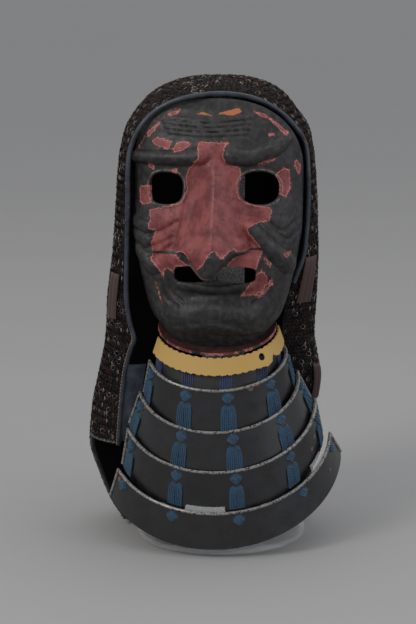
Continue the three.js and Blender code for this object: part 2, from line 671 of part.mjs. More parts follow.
function facingGeometry() {
  const leftEdge = openingCurve(200).filter((p) => p.x < 0);
  const nearest = (z) => leftEdge.reduce((a, b) => (Math.abs(a.z - z) < Math.abs(b.z - z) ? a : b));
  const grid = (back) =>
    Array.from({ length: FACING.rows + 1 }, (_, i) => {
      const z = lerp(FACING.top, FACING.foot, i / FACING.rows);
      const { x } = nearest(z);
      const y = hoodFront(x, z).y + FACING.back + back;
      return [0, 0.5, 1].map(
        (t) => new THREE.Vector3(x + FACING.aside + FACING.width * t, y + FACING.turn * t * t, z),
      );
    });
  return sheetGeometry(grid(0), grid(FACING.wall));
}

function patchGeometry(patch) {
  const rows = 3;
  const columns = patch.ribs * 2;
  const grid = (out, ribbed) =>
    Array.from({ length: rows + 1 }, (_, i) => {
      const z = lerp(patch.top, patch.foot, i / rows);
      return Array.from({ length: columns + 1 }, (_, j) => {
        const angle = (lerp(patch.from, patch.to, j / columns) - (patch.lean * i) / rows) * DEG;
        const wave = Math.sin((j / columns) * patch.ribs * Math.PI) ** 2;
        const rib = ribbed ? PATCH.rib * wave : 0;
        return hoodPoint(angle, z, -(out + rib));
      });
    });
  return sheetGeometry(grid(PATCH.wall, true), grid(PATCH.lift, false));
}

// ---- the stand ----------------------------------------------------------------------------------

function baseGeometry() {
  const { halfWidth, front, rear, thick, sides } = BASE;
  const shape = new THREE.Shape();
  shape.absellipse(0, (front + rear) / 2, halfWidth, (rear - front) / 2, 0, 2 * Math.PI);
  return new THREE.ExtrudeGeometry(shape, { depth: thick, bevelEnabled: false, curveSegments: sides });
}

function uprightGeometry() {
  const { halfWidth, thick, y, top } = UPRIGHT;
  const foot = BASE.thick + GAP;
  const block = new THREE.BoxGeometry(2 * halfWidth, thick, top - foot);
  return block.translate(0, y, (top + foot) / 2);
}

function skirtGeometry() {
  const shape = lameShape(LAMES[3]);
  const inset = LAME.wall + SKIRT.inset;
  const wall = (fars, from, to, steps) => {
    const grid = (off) =>
      fars.map((far) =>
        Array.from({ length: steps + 1 }, (_, j) => shape.point(lerp(from, to, j / steps), far, off)),
      );
    return solid(sheetGeometry(grid(-inset), grid(-inset - SKIRT.wall)));
  };
  let made = wall([SKIRT.below, shape.length + SKIRT.foot], SKIRT.left, SKIRT.right, SKIRT.steps);
  for (const { from, to } of SKIRT_TABS)
    made = made.add(wall([-TAB.rise, SKIRT.below + TAB.root], from, to, TAB.steps));
  return geometryOf(made);
}

// ---- the assembly -------------------------------------------------------------------------------

function maskGeometry() {
  const { columns, rows, hollowColumns, hollowRows } = MASK_GRID;
  let made = maskVolume(columns, rows, 0).subtract(maskVolume(hollowColumns, hollowRows, MASK.wall));
  for (const eye of EYES) made = made.subtract(facePrism(eye, CUTS.from, CUTS.eyesTo));
  made = made.subtract(facePrism(MOUTH, CUTS.from, CUTS.mouthTo));
  made = made.subtract(belowRing(RINGS.flangeRoot, FLANGE.drop));
  return geometryOf(made.add(solid(ringStrip(RINGS.flangeRoot, RINGS.flangeLip, FLANGE))));
}

add("mask_shell", maskGeometry(), "lacquer");
add("gilt_band", ringStrip(RINGS.gildTop, RINGS.gildFoot, GILT), "gilt");
add("inner_band", ringStrip(RINGS.bandTop, RINGS.bandFoot, BAND), "blackLacquer");

const bandLength = new THREE.Vector2(
  RINGS.bandFoot.y - RINGS.bandTop.y, RINGS.bandFoot.z - RINGS.bandTop.z,
).length();
const band = {
  length: bandLength,
  point: (angle, far, off) =>
    ringPoint(grow(mixRings(RINGS.bandTop, RINGS.bandFoot, far / bandLength), off), angle),
};
const shapes = [band, ...LAMES.map(lameShape)];
LAMES.forEach((lame, index) => add(lame.name, lameGeometry(lame, index), "blackLacquer"));
COLUMNS.forEach((column, k) => add("lace_" + (k + 1), laceGeometry(column, shapes), "lace"));

add("mail_hood", hoodGeometry(), "mail");
add("hood_piping", pipingGeometry(), "leather");
add("edge_facing", facingGeometry(), "leather");
for (const patch of PATCHES) add(patch.name, patchGeometry(patch), "brownLeather");

add("stand_base", baseGeometry(), "clear");
add("stand_upright", uprightGeometry(), "clear");
add("stand_skirt", skirtGeometry(), "clear");

export default group;
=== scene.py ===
"""Samurai face guard on a clear stand.

A lacquered full-face mask under a mail hood with a rolled leather edge, a gilt leather neck band and a
throat guard of four laced lames, held up by a clear plastic stand. Tables are in millimetres.
"""

import logging
import math
from collections.abc import Callable, Sequence
from dataclasses import dataclass, field
from enum import Enum

import bmesh
import bpy
import numpy as np
from mathutils import Matrix, Vector


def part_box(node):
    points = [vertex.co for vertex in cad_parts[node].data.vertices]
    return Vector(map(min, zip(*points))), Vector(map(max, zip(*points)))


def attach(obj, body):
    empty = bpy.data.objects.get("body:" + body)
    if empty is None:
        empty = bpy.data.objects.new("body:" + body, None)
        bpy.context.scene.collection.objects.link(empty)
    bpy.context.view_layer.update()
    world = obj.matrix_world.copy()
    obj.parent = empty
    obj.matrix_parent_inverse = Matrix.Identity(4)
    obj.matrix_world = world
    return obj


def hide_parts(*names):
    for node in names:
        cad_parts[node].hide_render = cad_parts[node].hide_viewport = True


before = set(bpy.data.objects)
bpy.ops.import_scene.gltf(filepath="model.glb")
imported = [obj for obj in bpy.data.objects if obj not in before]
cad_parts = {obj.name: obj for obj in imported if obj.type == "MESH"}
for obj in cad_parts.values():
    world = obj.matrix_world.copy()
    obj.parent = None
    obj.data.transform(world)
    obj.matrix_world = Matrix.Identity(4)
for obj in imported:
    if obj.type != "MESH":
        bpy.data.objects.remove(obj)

Array = np.ndarray
Place = Callable[[Array], Array]

LOG = logging.getLogger("face_guard")
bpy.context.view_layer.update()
MM = 0.001
UPRIGHT_Y = 16.0
_LOW, _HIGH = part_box("stand_upright")
OFFSET = np.array([(_LOW.x + _HIGH.x) / 2 / MM, (_LOW.y + _HIGH.y) / 2 / MM - UPRIGHT_Y, 0.0])
SEED = 11
SHARP = 35.0  # edges sharper than this are rounded, in degrees
HALVINGS = 12  # how often a cell's edge is halved to find where a sheet is cut


# ---- shapes in numbers -----------------------------------------------------------------------------


def smooth(share: Array) -> Array:
    """Ease a share from 0 to 1."""
    t = np.clip(share, 0.0, 1.0)
    return t * t * (3 - 2 * t)


def lerp(a: Array, b: Array, share: Array) -> Array:
    """The value a share of the way from a to b."""
    return a + (b - a) * share


def bend(value: Array, power: float) -> Array:
    """Raise a signed value to a power and keep its sign."""
    return np.sign(value) * np.abs(value) ** power


@dataclass(frozen=True)
class Table:
    """A short table of columns along one key, read on a smooth curve that doesn't overshoot."""

    rows: dict[float, tuple[float, ...]]

    def __call__(self, at: Array) -> tuple[Array, ...]:
        """Read the table.

        Args:
            at: Values of the key.

        Returns:
            Each column at those values.
        """
        keys = np.array(sorted(self.rows))
        values = np.array([self.rows[key] for key in keys], float)
        step = np.diff(keys)[:, None]
        rise = np.diff(values, axis=0) / step
        product = rise[:-1] * rise[1:]
        slope = np.zeros_like(values)
        total = np.where(product > 0, rise[:-1] + rise[1:], 1.0)
        slope[1:-1] = np.where(product > 0, 2 * product / total, 0.0)
        k = np.clip(np.searchsorted(keys, at, side="right") - 1, 0, len(keys) - 2)
        t = np.clip((at - keys[k]) / step[k, 0], 0, 1)[..., None]
        found = (
            values[k] * (2 * t**3 - 3 * t**2 + 1)
            + values[k + 1] * (3 * t**2 - 2 * t**3)
            + step[k] * (slope[k] * (t**3 - 2 * t**2 + t) + slope[k + 1] * (t**3 - t**2))
        )
        return tuple(np.moveaxis(found, -1, 0))


def curve_through(points: Sequence[Sequence[float]], steps: int = 6) -> Array:
    """A smooth line through points, with a number of steps between each two.

    Args:
        points: The points.
        steps: Steps between each two.

    Returns:
        The line's points.
    """
    p = np.array(points, float)
    if len(p) < 3:
        return p
    padded = np.vstack([2 * p[0] - p[1], p, 2 * p[-1] - p[-2]])
    t = np.linspace(0, 1, steps, endpoint=False)[:, None]
    line = []
    for a, b, c, d in zip(padded, padded[1:], padded[2:], padded[3:]):
        line.append(0.5 * (2 * b + (c - a) * t + (2 * a - 5 * b + 4 * c - d) * t**2
                           + (3 * b - a - 3 * c + d) * t**3))
    return np.vstack([*line, p[-1:]])


def nearest(line: Array, x: Array, y: Array) -> tuple[Array, Array]:
    """Distance to a line, and how far along it the nearest point is as a share.

    Args:
        line: The line's points.
        x: Where to measure from, across.
        y: Where to measure from, up.

    Returns:
        The distances and the shares.
    """
    best = np.full(x.shape, np.inf)
    along = np.zeros(x.shape)
    for k, (a, b) in enumerate(zip(line, line[1:])):
        run = b - a
        t = np.clip(((x - a[0]) * run[0] + (y - a[1]) * run[1]) / max(run @ run, 1e-9), 0, 1)
        gap = np.hypot(x - a[0] - t * run[0], y - a[1] - t * run[1])
        along = np.where(gap < best, (k + t) / (len(line) - 1), along)
        best = np.minimum(best, gap)
    return best, along


def depth_in(outline: Array, x: Array, y: Array) -> Array:
    """Distance inside a closed outline, negative outside it.

    Args:
        outline: The outline's corners.
        x: Where to measure, across.
        y: Where to measure, up.

    Returns:
        The distances.
    """
    closed = np.vstack([outline, outline[:1]])
    gap, _ = nearest(closed, x, y)
    inside = np.zeros(x.shape, bool)
    for a, b in zip(closed, closed[1:]):
        if a[1] != b[1]:
            crossing = a[0] + (y - a[1]) * (b[0] - a[0]) / (b[1] - a[1])
            inside ^= ((a[1] > y) != (b[1] > y)) & (x < crossing)
    return np.where(inside, gap, -gap)


# ---- making meshes ---------------------------------------------------------------------------------


def trimmed(form: bmesh.types.BMesh, shares: Array, depth: Callable[[Array], Array]) -> tuple[Array, list]:
    """Fit a sheet of cells to the edge of what is cut away.

    Args:
        form: The sheet of cells.
        shares: Two shares for each of its vertices.
        depth: Positive where the sheet is cut away.

    Returns:
        The shares with the edge's vertices moved onto the edge, and the faces to cut away.
    """
    inside = depth(shares) > 0
    pairs = set()
    doomed = []
    for face in form.faces:
        corners = [vertex.index for vertex in face.verts]
        within = [c for c in corners if inside[c]]
        if len(within) == len(corners):
            doomed.append(face)
        elif within:
            pairs.update((a, b) for a in within for b in corners if not inside[b])
    if not pairs:
        return shares, doomed
    pair = np.array(sorted(pairs))
    start = shares[pair[:, 0]]
    run = shares[pair[:, 1]] - start
    low = np.zeros(len(pair))
    high = np.ones(len(pair))
    for _ in range(HALVINGS):
        middle = (low + high) / 2
        still = depth(start + middle[:, None] * run) > 0
        low = np.where(still, middle, low)
        high = np.where(still, high, middle)
    order = np.argsort(-high)
    moved = shares.copy()
    moved[pair[order, 0]] = (start + high[:, None] * run)[order]
    return moved, doomed


def web(
    columns: int,
    rows: int,
    place: Place,
    span: tuple[float, float] = (1.0, 1.0),
    cut: Callable[[Array], Array] | None = None,
    values: dict[str, Callable[[Array], Array]] | None = None,
) -> bmesh.types.BMesh:
    """A curved sheet of cells.

    Args:
        columns: Cells across.
        rows: Cells down.
        place: Points in millimetres for two shares, each from 0 to 1.
        span: Width and length of the sheet, for its UV map in millimetres.
        cut: Positive where the sheet is cut away.
        values: Attributes of the vertices, each worked out from the shares.

    Returns:
        The sheet, with its seams and poles merged.
    """
    form = bmesh.new()
    bmesh.ops.create_grid(form, x_segments=columns, y_segments=rows, size=0.5)
    form.verts.ensure_lookup_table()
    shares = np.array([vertex.co[:2] for vertex in form.verts]) + 0.5
    doomed: list = []
    if cut is not None:
        shares, doomed = trimmed(form, shares, cut)
    uv = form.loops.layers.uv.new("UVMap")
    for face in form.faces:
        for loop in face.loops:
            s, t = shares[loop.vert.index]
            loop[uv].uv = (s * span[0], t * span[1])
    layers = {name: form.verts.layers.float.new(name) for name in values or {}}
    found = {name: values[name](shares) for name in layers}
    points = (place(shares) + OFFSET) * MM
    for vertex, point in zip(form.verts, points):
        for name, layer in layers.items():
            vertex[layer] = float(found[name][vertex.index])
        vertex.co = point
    bmesh.ops.delete(form, geom=doomed, context="FACES")
    bmesh.ops.remove_doubles(form, verts=form.verts, dist=1e-6)
    return form


def face_away(form: bmesh.types.BMesh, centre: Array) -> bmesh.types.BMesh:
    """Turn an open sheet's faces away from a point in millimetres.

    Args:
        form: The sheet.
        centre: The point.

    Returns:
        The same sheet.
    """
    middle = Vector((np.asarray(centre) + OFFSET) * MM)
    form.normal_update()
    lean = sum(face.normal.dot(face.calc_center_median() - middle) * face.calc_area() for face in form.faces)
    if lean < 0:
        bmesh.ops.reverse_faces(form, faces=form.faces)
    return form


def joined(*forms: bmesh.types.BMesh) -> bmesh.types.BMesh:
    """Several forms as one, with each one's own attributes kept.

    Args:
        forms: The forms, which are freed.

    Returns:
        The joined form.
    """
    whole = bmesh.new()
    for form in forms:
        mesh = bpy.data.meshes.new("part")
        form.to_mesh(mesh)
        form.free()
        whole.from_mesh(mesh)
        bpy.data.meshes.remove(mesh)
    return whole


def tubes(lines: Sequence[Array], radius: float, sides: int = 6) -> bmesh.types.BMesh:
    """Round cords along several lines, in millimetres, with closed ends.

    Args:
        lines: The middle line of each cord.
        radius: The cords' radius.
        sides: Faces round a cord.

    Returns:
        All the cords as one form.
    """
    shape = bpy.data.curves.new("line", "CURVE")
    shape.dimensions = "3D"
    shape.bevel_depth = radius * MM
    shape.bevel_resolution = max(0, sides // 2 - 2)
    shape.use_fill_caps = True
    for line in lines:
        spline = shape.splines.new("POLY")
        spline.points.add(len(line) - 1)
        placed = (np.asarray(line) + OFFSET) * MM
        spline.points.foreach_set("co", np.c_[placed, np.ones(len(placed))].ravel())
    holder = bpy.data.objects.new("line", shape)
    mesh = bpy.data.meshes.new_from_object(holder)
    form = bmesh.new()
    form.from_mesh(mesh)
    bmesh.ops.remove_doubles(form, verts=form.verts, dist=1e-7)
    bmesh.ops.recalc_face_normals(form, faces=form.faces)
    bpy.data.objects.remove(holder)
    bpy.data.curves.remove(shape)
    bpy.data.meshes.remove(mesh)
    return form


def ring_template(radius: float, wire: float, around: int, sides: int) -> bmesh.types.BMesh:
    """One ring of wire about the Z axis, in millimetres.

    Args:
        radius: The ring's radius, to the middle of its wire.
        wire: The wire's radius.
        around: Steps round the ring.
        sides: Faces round the wire.

    Returns:
        The ring.
    """
    form = bmesh.new()
    turn = Matrix.Translation((radius, 0, 0)) @ Matrix.Rotation(math.radians(90), 4, "X")
    section = bmesh.ops.create_circle(form, segments=sides, radius=wire, matrix=turn)
    edges = list({edge for vertex in section["verts"] for edge in vertex.link_edges})
    bmesh.ops.spin(form, geom=edges, cent=(0, 0, 0), axis=(0, 0, 1), angle=math.tau, steps=around,
                   use_merge=True, use_duplicate=False)
    bmesh.ops.recalc_face_normals(form, faces=form.faces)
    return form


def stitch_template(length: float, thick: float) -> bmesh.types.BMesh:
    """One stitch along the X axis, in millimetres.

    Args:
        length: Its length.
        thick: Its thickness.

    Returns:
        The stitch.
    """
    form = bmesh.new()
    bmesh.ops.create_uvsphere(form, u_segments=6, v_segments=4, radius=0.5)
    bmesh.ops.scale(form, vec=(length, thick, thick), verts=form.verts)
    return form


def copies(template: bmesh.types.BMesh, turns: Array, points: Array, tone: Array) -> bpy.types.Mesh:
    """Many copies of a small form as one mesh.

    Args:
        template: The form, about the origin, in millimetres.
        turns: A 3 by 3 matrix for each copy.
        points: Its place in millimetres.
        tone: A value for each copy, kept as the attribute tone.

    Returns:
        The mesh of all the copies.
    """
    template.verts.ensure_lookup_table()
    corners = np.array([vertex.co for vertex in template.verts])
    loops = np.array([vertex.index for face in template.faces for vertex in face.verts])
    sizes = np.array([len(face.verts) for face in template.faces])
    template.free()
    count = len(points)
    placed = np.einsum("nij,kj->nki", turns, corners) + points[:, None, :]
    mesh = bpy.data.meshes.new("copies")
    mesh.vertices.add(count * len(corners))
    mesh.vertices.foreach_set("co", ((placed + OFFSET) * MM).ravel())
    mesh.loops.add(count * len(loops))
    every = (loops[None, :] + np.arange(count)[:, None] * len(corners)).ravel()
    mesh.loops.foreach_set("vertex_index", every)
    mesh.polygons.add(count * len(sizes))
    starts = np.concatenate([[0], np.cumsum(np.tile(sizes, count))[:-1]])
    mesh.polygons.foreach_set("loop_start", starts)
    mesh.update(calc_edges=True)
    mesh.attributes.new("tone", "FLOAT", "POINT").data.foreach_set("value", np.repeat(tone, len(corners)))
    return mesh


@dataclass
class Dressed:
    """How one piece is finished off: its material, its wall and what it stands for."""

    name: str
    material: bpy.types.Material
    slot: str
    replaces: tuple[str, ...] = ()
    wall: float = 0.0
    rounding: float = 0.0
    lining: bpy.types.Material | None = None
    crease: float = 40.0

    def make(self, form: bmesh.types.BMesh | bpy.types.Mesh) -> bpy.types.Object:
        """Turn a form into a finished piece that rides on the body.

        Args:
            form: The shape in metres, in place.

        Returns:
            The piece's object.
        """
        if isinstance(form, bmesh.types.BMesh):
            mesh = bpy.data.meshes.new(self.name)
            form.to_mesh(mesh)
            form.free()
        else:
            mesh = form
        piece = bpy.data.objects.new(self.name, mesh)
        bpy.context.scene.collection.objects.link(piece)
        mesh.materials.append(self.material)
        if self.lining is not None:
            mesh.materials.append(self.lining)
        if self.wall:
            solid = piece.modifiers.new("wall", "SOLIDIFY")
            solid.thickness = self.wall * MM
            solid.offset = -1
            solid.use_even_offset = False
            solid.material_offset = 1 if self.lining is not None else 0
        if self.rounding:
            edge = piece.modifiers.new("rounding", "BEVEL")
            edge.width = self.rounding * MM
            edge.segments = 2
            edge.angle_limit = math.radians(SHARP)
        if self.wall or self.rounding:
            graph = bpy.context.evaluated_depsgraph_get()
            settled = bpy.data.meshes.new_from_object(piece.evaluated_get(graph))
            piece.modifiers.clear()
            piece.data = settled
            settled.name = self.name
        piece.data.polygons.foreach_set("use_smooth", np.ones(len(piece.data.polygons), bool))
        piece.data.set_sharp_from_angle(angle=math.radians(self.crease))
        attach(piece, "root")
        if self.replaces:
            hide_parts(*self.replaces)
        LOG.info("%s: %d faces", self.name, len(piece.data.polygons))
        return piece


# ---- finishes --------------------------------------------------------------------------------------


def paint(red: int, green: int, blue: int) -> tuple[float, float, float, float]:
    """A colour given in the usual 0 to 255 steps, as the shader takes it."""
    linear = [((c / 255 + 0.055) / 1.055) ** 2.4 if c > 10 else c / 255 / 12.92 for c in (red, green, blue)]
    return (*linear, 1.0)


class Mixer:
    """The nodes of one material, built up a step at a time."""

    def __init__(self, name: str) -> None:
        """Start a material with its shader.

        Args:
            name: The material's name.
        """
        self.material = bpy.data.materials.new(name)
        self.material.use_nodes = True
        self.tree = self.material.node_tree
        self.shader = self.tree.nodes["Principled BSDF"]
        self.here = self.tree.nodes.new("ShaderNodeTexCoord").outputs["Object"]

    def put(self, kind: str, sockets: dict[str | int, object], **settings: object) -> bpy.types.Node:
        """Add a node, with its settings and what its sockets take.

        Args:
            kind: The node's type.
            sockets: A value or another node's socket for each of its sockets.
            settings: Its other settings.

        Returns:
            The node.
        """
        node = self.tree.nodes.new(kind)
        for name, value in settings.items():
            setattr(node, name, value)
        for name, value in sockets.items():
            if isinstance(value, bpy.types.NodeSocket):
                self.tree.links.new(value, node.inputs[name])
            else:
                node.inputs[name].default_value = value
        return node

    def noise(self, size: float, detail: float = 4.0,
              stretch: tuple[float, float, float] = (1, 1, 1)) -> bpy.types.NodeSocket:
        """Cloudy noise whose patches are of a size in millimetres.

        Args:
            size: The size.
            detail: Finer layers of noise.
            stretch: A factor along each axis.

        Returns:
            The noise, from 0 to 1.
        """
        turned = self.put("ShaderNodeMapping", {"Vector": self.here, "Scale": stretch})
        return self.put("ShaderNodeTexNoise", {"Vector": turned.outputs[0], "Scale": 1 / (size * MM),
                                               "Detail": detail, "Roughness": 0.6}).outputs["Fac"]

    def cells(self, size: float) -> bpy.types.NodeSocket:
        """Distance to the edges of cells of a size in millimetres."""
        return self.put("ShaderNodeTexVoronoi", {"Vector": self.here, "Scale": 1 / (size * MM)},
                        feature="DISTANCE_TO_EDGE").outputs["Distance"]

    def value(self, name: str) -> bpy.types.NodeSocket:
        """One of the piece's own attributes."""
        return self.put("ShaderNodeAttribute", {}, attribute_name=name).outputs["Fac"]

    def sum(self, operation: str, a: object, b: object = 0.0) -> bpy.types.NodeSocket:
        """One step of arithmetic."""
        return self.put("ShaderNodeMath", {0: a, 1: b}, operation=operation).outputs[0]

    def ramp(self, value: bpy.types.NodeSocket, low: float, high: float, start: float = 0.0,
             end: float = 1.0) -> bpy.types.NodeSocket:
        """A smooth step from start at low to end at high.

        Args:
            value: What the step is made from.
            low: Where it starts.
            high: Where it ends.
            start: Its value up to low.
            end: Its value from high.

        Returns:
            The stepped value.
        """
        return self.put("ShaderNodeMapRange", {"Value": value, "From Min": low, "From Max": high,
                                               "To Min": start, "To Max": end},
                        interpolation_type="SMOOTHSTEP").outputs["Result"]

    def blend(self, share: object, a: object, b: object) -> bpy.types.NodeSocket:
        """A colour between two, by a share.

        Args:
            share: The share of b.
            a: One colour.
            b: The other.

        Returns:
            The mixed colour.
        """
        node = self.put("ShaderNodeMix", {"Factor": share}, data_type="RGBA")
        for socket, value in ((node.inputs[6], a), (node.inputs[7], b)):
            if isinstance(value, bpy.types.NodeSocket):
                self.tree.links.new(value, socket)
            else:
                socket.default_value = value
        return node.outputs[2]

    def bump(self, height: bpy.types.NodeSocket, depth: float) -> None:
        """Raise the surface by a height times a depth in millimetres.

        Args:
            height: The height, from 0 to 1.
            depth: The depth.
        """
        before = self.shader.inputs["Normal"].links
        sockets = {"Height": height, "Distance": depth * MM, "Strength": 1.0}
        if before:
            sockets["Normal"] = before[0].from_socket
        node = self.put("ShaderNodeBump", sockets)
        self.tree.links.new(node.outputs["Normal"], self.shader.inputs["Normal"])

    def set(self, **sockets: object) -> None:
        """Set the shader's own sockets, with _ for a space in their names."""
        for name, value in sockets.items():
            socket = self.shader.inputs[name.replace("_", " ")]
            if isinstance(value, bpy.types.NodeSocket):
                self.tree.links.new(value, socket)
            else:
                socket.default_value = value


@dataclass(frozen=True)
class Plain:
    """A finish of two mixed tones with worn patches, a grain and a roughness that varies."""

    name: str
    dark: tuple[int, int, int]
    light: tuple[int, int, int]
    worn: tuple[int, int, int]
    patch: float = 8.0
    grain: float = 0.8
    depth: float = 0.12
    rough: tuple[float, float] = (0.45, 0.7)
    metal: float = 0.0
    wear: float = 0.66
    coat: float = 0.0

    def material(self) -> bpy.types.Material:
        """Mix the finish.

        Returns:
            The material.
        """
        mix = Mixer(self.name)
        cloud = mix.noise(self.patch)
        fine = mix.noise(self.grain, 2.0)
        colour = mix.blend(mix.ramp(cloud, 0.3, 0.7), paint(*self.dark), paint(*self.light))
        rubbed = mix.ramp(mix.noise(self.patch / 3, 6.0), self.wear - 0.04, self.wear + 0.04)
        scuffs = mix.sum("MULTIPLY", rubbed, mix.ramp(fine, 0.42, 0.55))
        mix.set(Base_Color=mix.blend(scuffs, colour, paint(*self.worn)),
                Roughness=mix.ramp(cloud, 0.25, 0.75, *self.rough), Metallic=self.metal,
                Coat_Weight=self.coat)
        mix.bump(fine, self.depth)
        return mix.material


@dataclass(frozen=True)
class FlakedLacquer:
    """Old red lacquer over black, flaked away in patches, with a painted highlight just inside each flake's
    broken edge and a painted highlight round the eyes.
    """

    name: str = "flaked_lacquer"
    red: tuple[int, int, int] = (142, 74, 72)
    deep: tuple[int, int, int] = (104, 44, 46)
    flake_edge_highlight: tuple[int, int, int] = (196, 128, 126)
    black: tuple[int, int, int] = (25, 25, 27)
    grey: tuple[int, int, int] = (54, 52, 52)
    rust: tuple[int, int, int] = (176, 96, 52)

    def material(self) -> bpy.types.Material:
        """Mix the finish from the attribute red, the distance inside a patch in millimetres.

        Returns:
            The material.
        """
        mix = Mixer(self.name)
        ragged = mix.sum("MULTIPLY", mix.sum("SUBTRACT", mix.noise(3.2, 6.0), 0.5), 5.5)
        edge = mix.sum("ADD", mix.value("red"), ragged)
        on = mix.ramp(edge, -0.12, 0.18)
        tint = mix.ramp(mix.noise(14.0, 5.0), 0.34, 0.66)
        streaks = mix.noise(1.6, 3.0, stretch=(1, 1, 0.16))
        red = mix.blend(tint, paint(*self.deep), paint(*self.red))
        red = mix.blend(mix.ramp(streaks, 0.60, 0.74, 0, 0.35), red, paint(150, 110, 108))
        # painted highlight: a pale pink band just inside each flake's edge, where the raised lacquer edge
        # would catch the light
        inner = mix.sum("MULTIPLY", mix.ramp(edge, 0.1, 0.3), mix.ramp(edge, 1.1, 0.6))
        red = mix.blend(mix.sum("MULTIPLY", inner, 0.75), red, paint(*self.flake_edge_highlight))
        cracks = mix.sum("MULTIPLY", mix.ramp(mix.cells(7.0), 0.045, 0.012),
                         mix.ramp(mix.noise(9.0, 2.0), 0.5, 0.62))
        red = mix.blend(mix.sum("MULTIPLY", cracks, 0.7), red, paint(48, 24, 26))
        black = mix.blend(mix.ramp(mix.noise(6.0, 5.0), 0.35, 0.7), paint(*self.black), paint(*self.grey))
        broken = mix.sum("MULTIPLY", mix.ramp(edge, -1.1, -0.5), mix.ramp(mix.noise(1.4, 2.0), 0.52, 0.6))
        specks = mix.ramp(mix.noise(1.1, 2.0), 0.70, 0.74, 0, 0.8)
        rusty = mix.sum("MAXIMUM", mix.sum("MULTIPLY", broken, 0.7), specks)
        black = mix.blend(rusty, black, paint(*self.rust))
        bare = mix.ramp(mix.sum("ADD", mix.value("bare"), mix.sum("MULTIPLY", ragged, 0.5)), -0.2, 0.2)
        black = mix.blend(bare, black, paint(168, 98, 58))
        # painted highlight: a pale line round each eye, 1.2 to 2.5 mm from its edge, along the raised eye
        # rim, broken up by noise
        rim = mix.value("rim")
        line = mix.sum("MULTIPLY", mix.ramp(rim, 1.2, 1.6), mix.ramp(rim, 2.5, 2.1))
        colour = mix.blend(on, black, red)
        colour = mix.blend(mix.sum("MULTIPLY", line, mix.ramp(mix.noise(4.0), 0.4, 0.55, 0, 0.55)), colour,
                           paint(168, 140, 138))
        mix.set(Base_Color=colour, Roughness=mix.ramp(mix.noise(5.0), 0.3, 0.7, 0.42, 0.62),
                Specular_IOR_Level=0.4)
        mix.bump(on, 0.35)
        mix.bump(mix.noise(0.7, 3.0), 0.08)
        return mix.material


@dataclass(frozen=True)
class PlateLacquer:
    """Near black lacquer on the lames, with chipped rims, fine scratches and pale edges that are partly
    rubbed lacquer and partly a painted highlight.
    """

    name: str = "plate_lacquer"

    def material(self) -> bpy.types.Material:
        """Mix the finish from the attributes rim and chip, both distances in millimetres.

        Returns:
            The material.
        """
        mix = Mixer(self.name)
        haze = mix.ramp(mix.noise(22.0, 5.0), 0.35, 0.7)
        colour = mix.blend(haze, paint(9, 9, 11), paint(20, 21, 24))
        scratches = mix.ramp(mix.noise(0.9, 3.0, stretch=(1, 1, 0.08)), 0.70, 0.76, 0, 0.35)
        colour = mix.blend(scratches, colour, paint(92, 94, 98))
        ragged = mix.sum("MULTIPLY", mix.sum("SUBTRACT", mix.noise(2.2, 5.0), 0.5), 4.0)
        # pale grey along the edges and over the rolled rim: partly rubbed lacquer, partly a painted highlight
        # of the light on the rounded rim
        rubbed = mix.ramp(mix.sum("ADD", mix.value("rim"), ragged), 0.9, 0.3, 0, 0.75)
        colour = mix.blend(rubbed, colour, paint(150, 146, 142))
        chipped = mix.ramp(mix.sum("ADD", mix.value("chip"), ragged), -0.1, 0.25)
        nicks = mix.ramp(mix.noise(2.0, 2.0), 0.735, 0.755)
        colour = mix.blend(mix.sum("MAXIMUM", chipped, nicks), colour, paint(112, 70, 50))
        mix.set(Base_Color=colour, Roughness=mix.ramp(mix.noise(12.0, 4.0), 0.3, 0.7, 0.24, 0.42),
                Coat_Weight=0.25, Coat_Roughness=0.2)
        mix.bump(mix.sum("SUBTRACT", 1.0, chipped), 0.3)
        mix.bump(mix.noise(1.2, 3.0), 0.05)
        return mix.material


@dataclass(frozen=True)
class GiltLeather:
    """Gilt leather printed with small dark leafy strokes and dots, worn at its edges."""

    name: str = "gilt_leather"

    def material(self) -> bpy.types.Material:
        """Mix the finish on the band's own UV map, which is in millimetres.

        Returns:
            The material.
        """
        mix = Mixer(self.name)
        flat = self.flat(mix)
        gold = mix.blend(mix.ramp(mix.noise(7.0, 5.0), 0.3, 0.7), paint(96, 66, 34), paint(158, 116, 64))
        leaves = mix.put("ShaderNodeTexVoronoi", {"Vector": flat, "Scale": 0.19, "Randomness": 0.9},
                         voronoi_dimensions="2D")
        spread = mix.put("ShaderNodeTexWave",
                         {"Vector": flat, "Scale": 0.17, "Distortion": 9.0, "Detail": 1.0,
                          "Detail Scale": 0.6},
                         wave_type="BANDS", bands_direction="DIAGONAL")
        strokes = mix.sum("MULTIPLY", mix.ramp(spread.outputs["Fac"], 0.72, 0.84),
                          mix.ramp(leaves.outputs["Distance"], 0.42, 0.5))
        dots = mix.ramp(leaves.outputs["Distance"], 0.17, 0.12)
        ink = mix.sum("MAXIMUM", strokes, dots)
        faded = mix.sum("MULTIPLY", ink, mix.ramp(mix.noise(5.0, 3.0), 0.36, 0.55))
        colour = mix.blend(faded, gold, paint(40, 44, 62))
        grime = mix.ramp(mix.noise(3.0, 6.0), 0.6, 0.72, 0, 0.55)
        colour = mix.blend(grime, colour, paint(70, 48, 30))
        mix.set(Base_Color=colour, Roughness=mix.ramp(mix.noise(4.0), 0.3, 0.7, 0.4, 0.62), Metallic=0.15)
        mix.bump(mix.noise(0.9, 3.0), 0.15)
        mix.bump(ink, -0.08)
        return mix.material

    @staticmethod
    def flat(mix: Mixer) -> bpy.types.NodeSocket:
        """The band's own map."""
        return mix.put("ShaderNodeUVMap", {}, uv_map="UVMap").outputs["UV"]


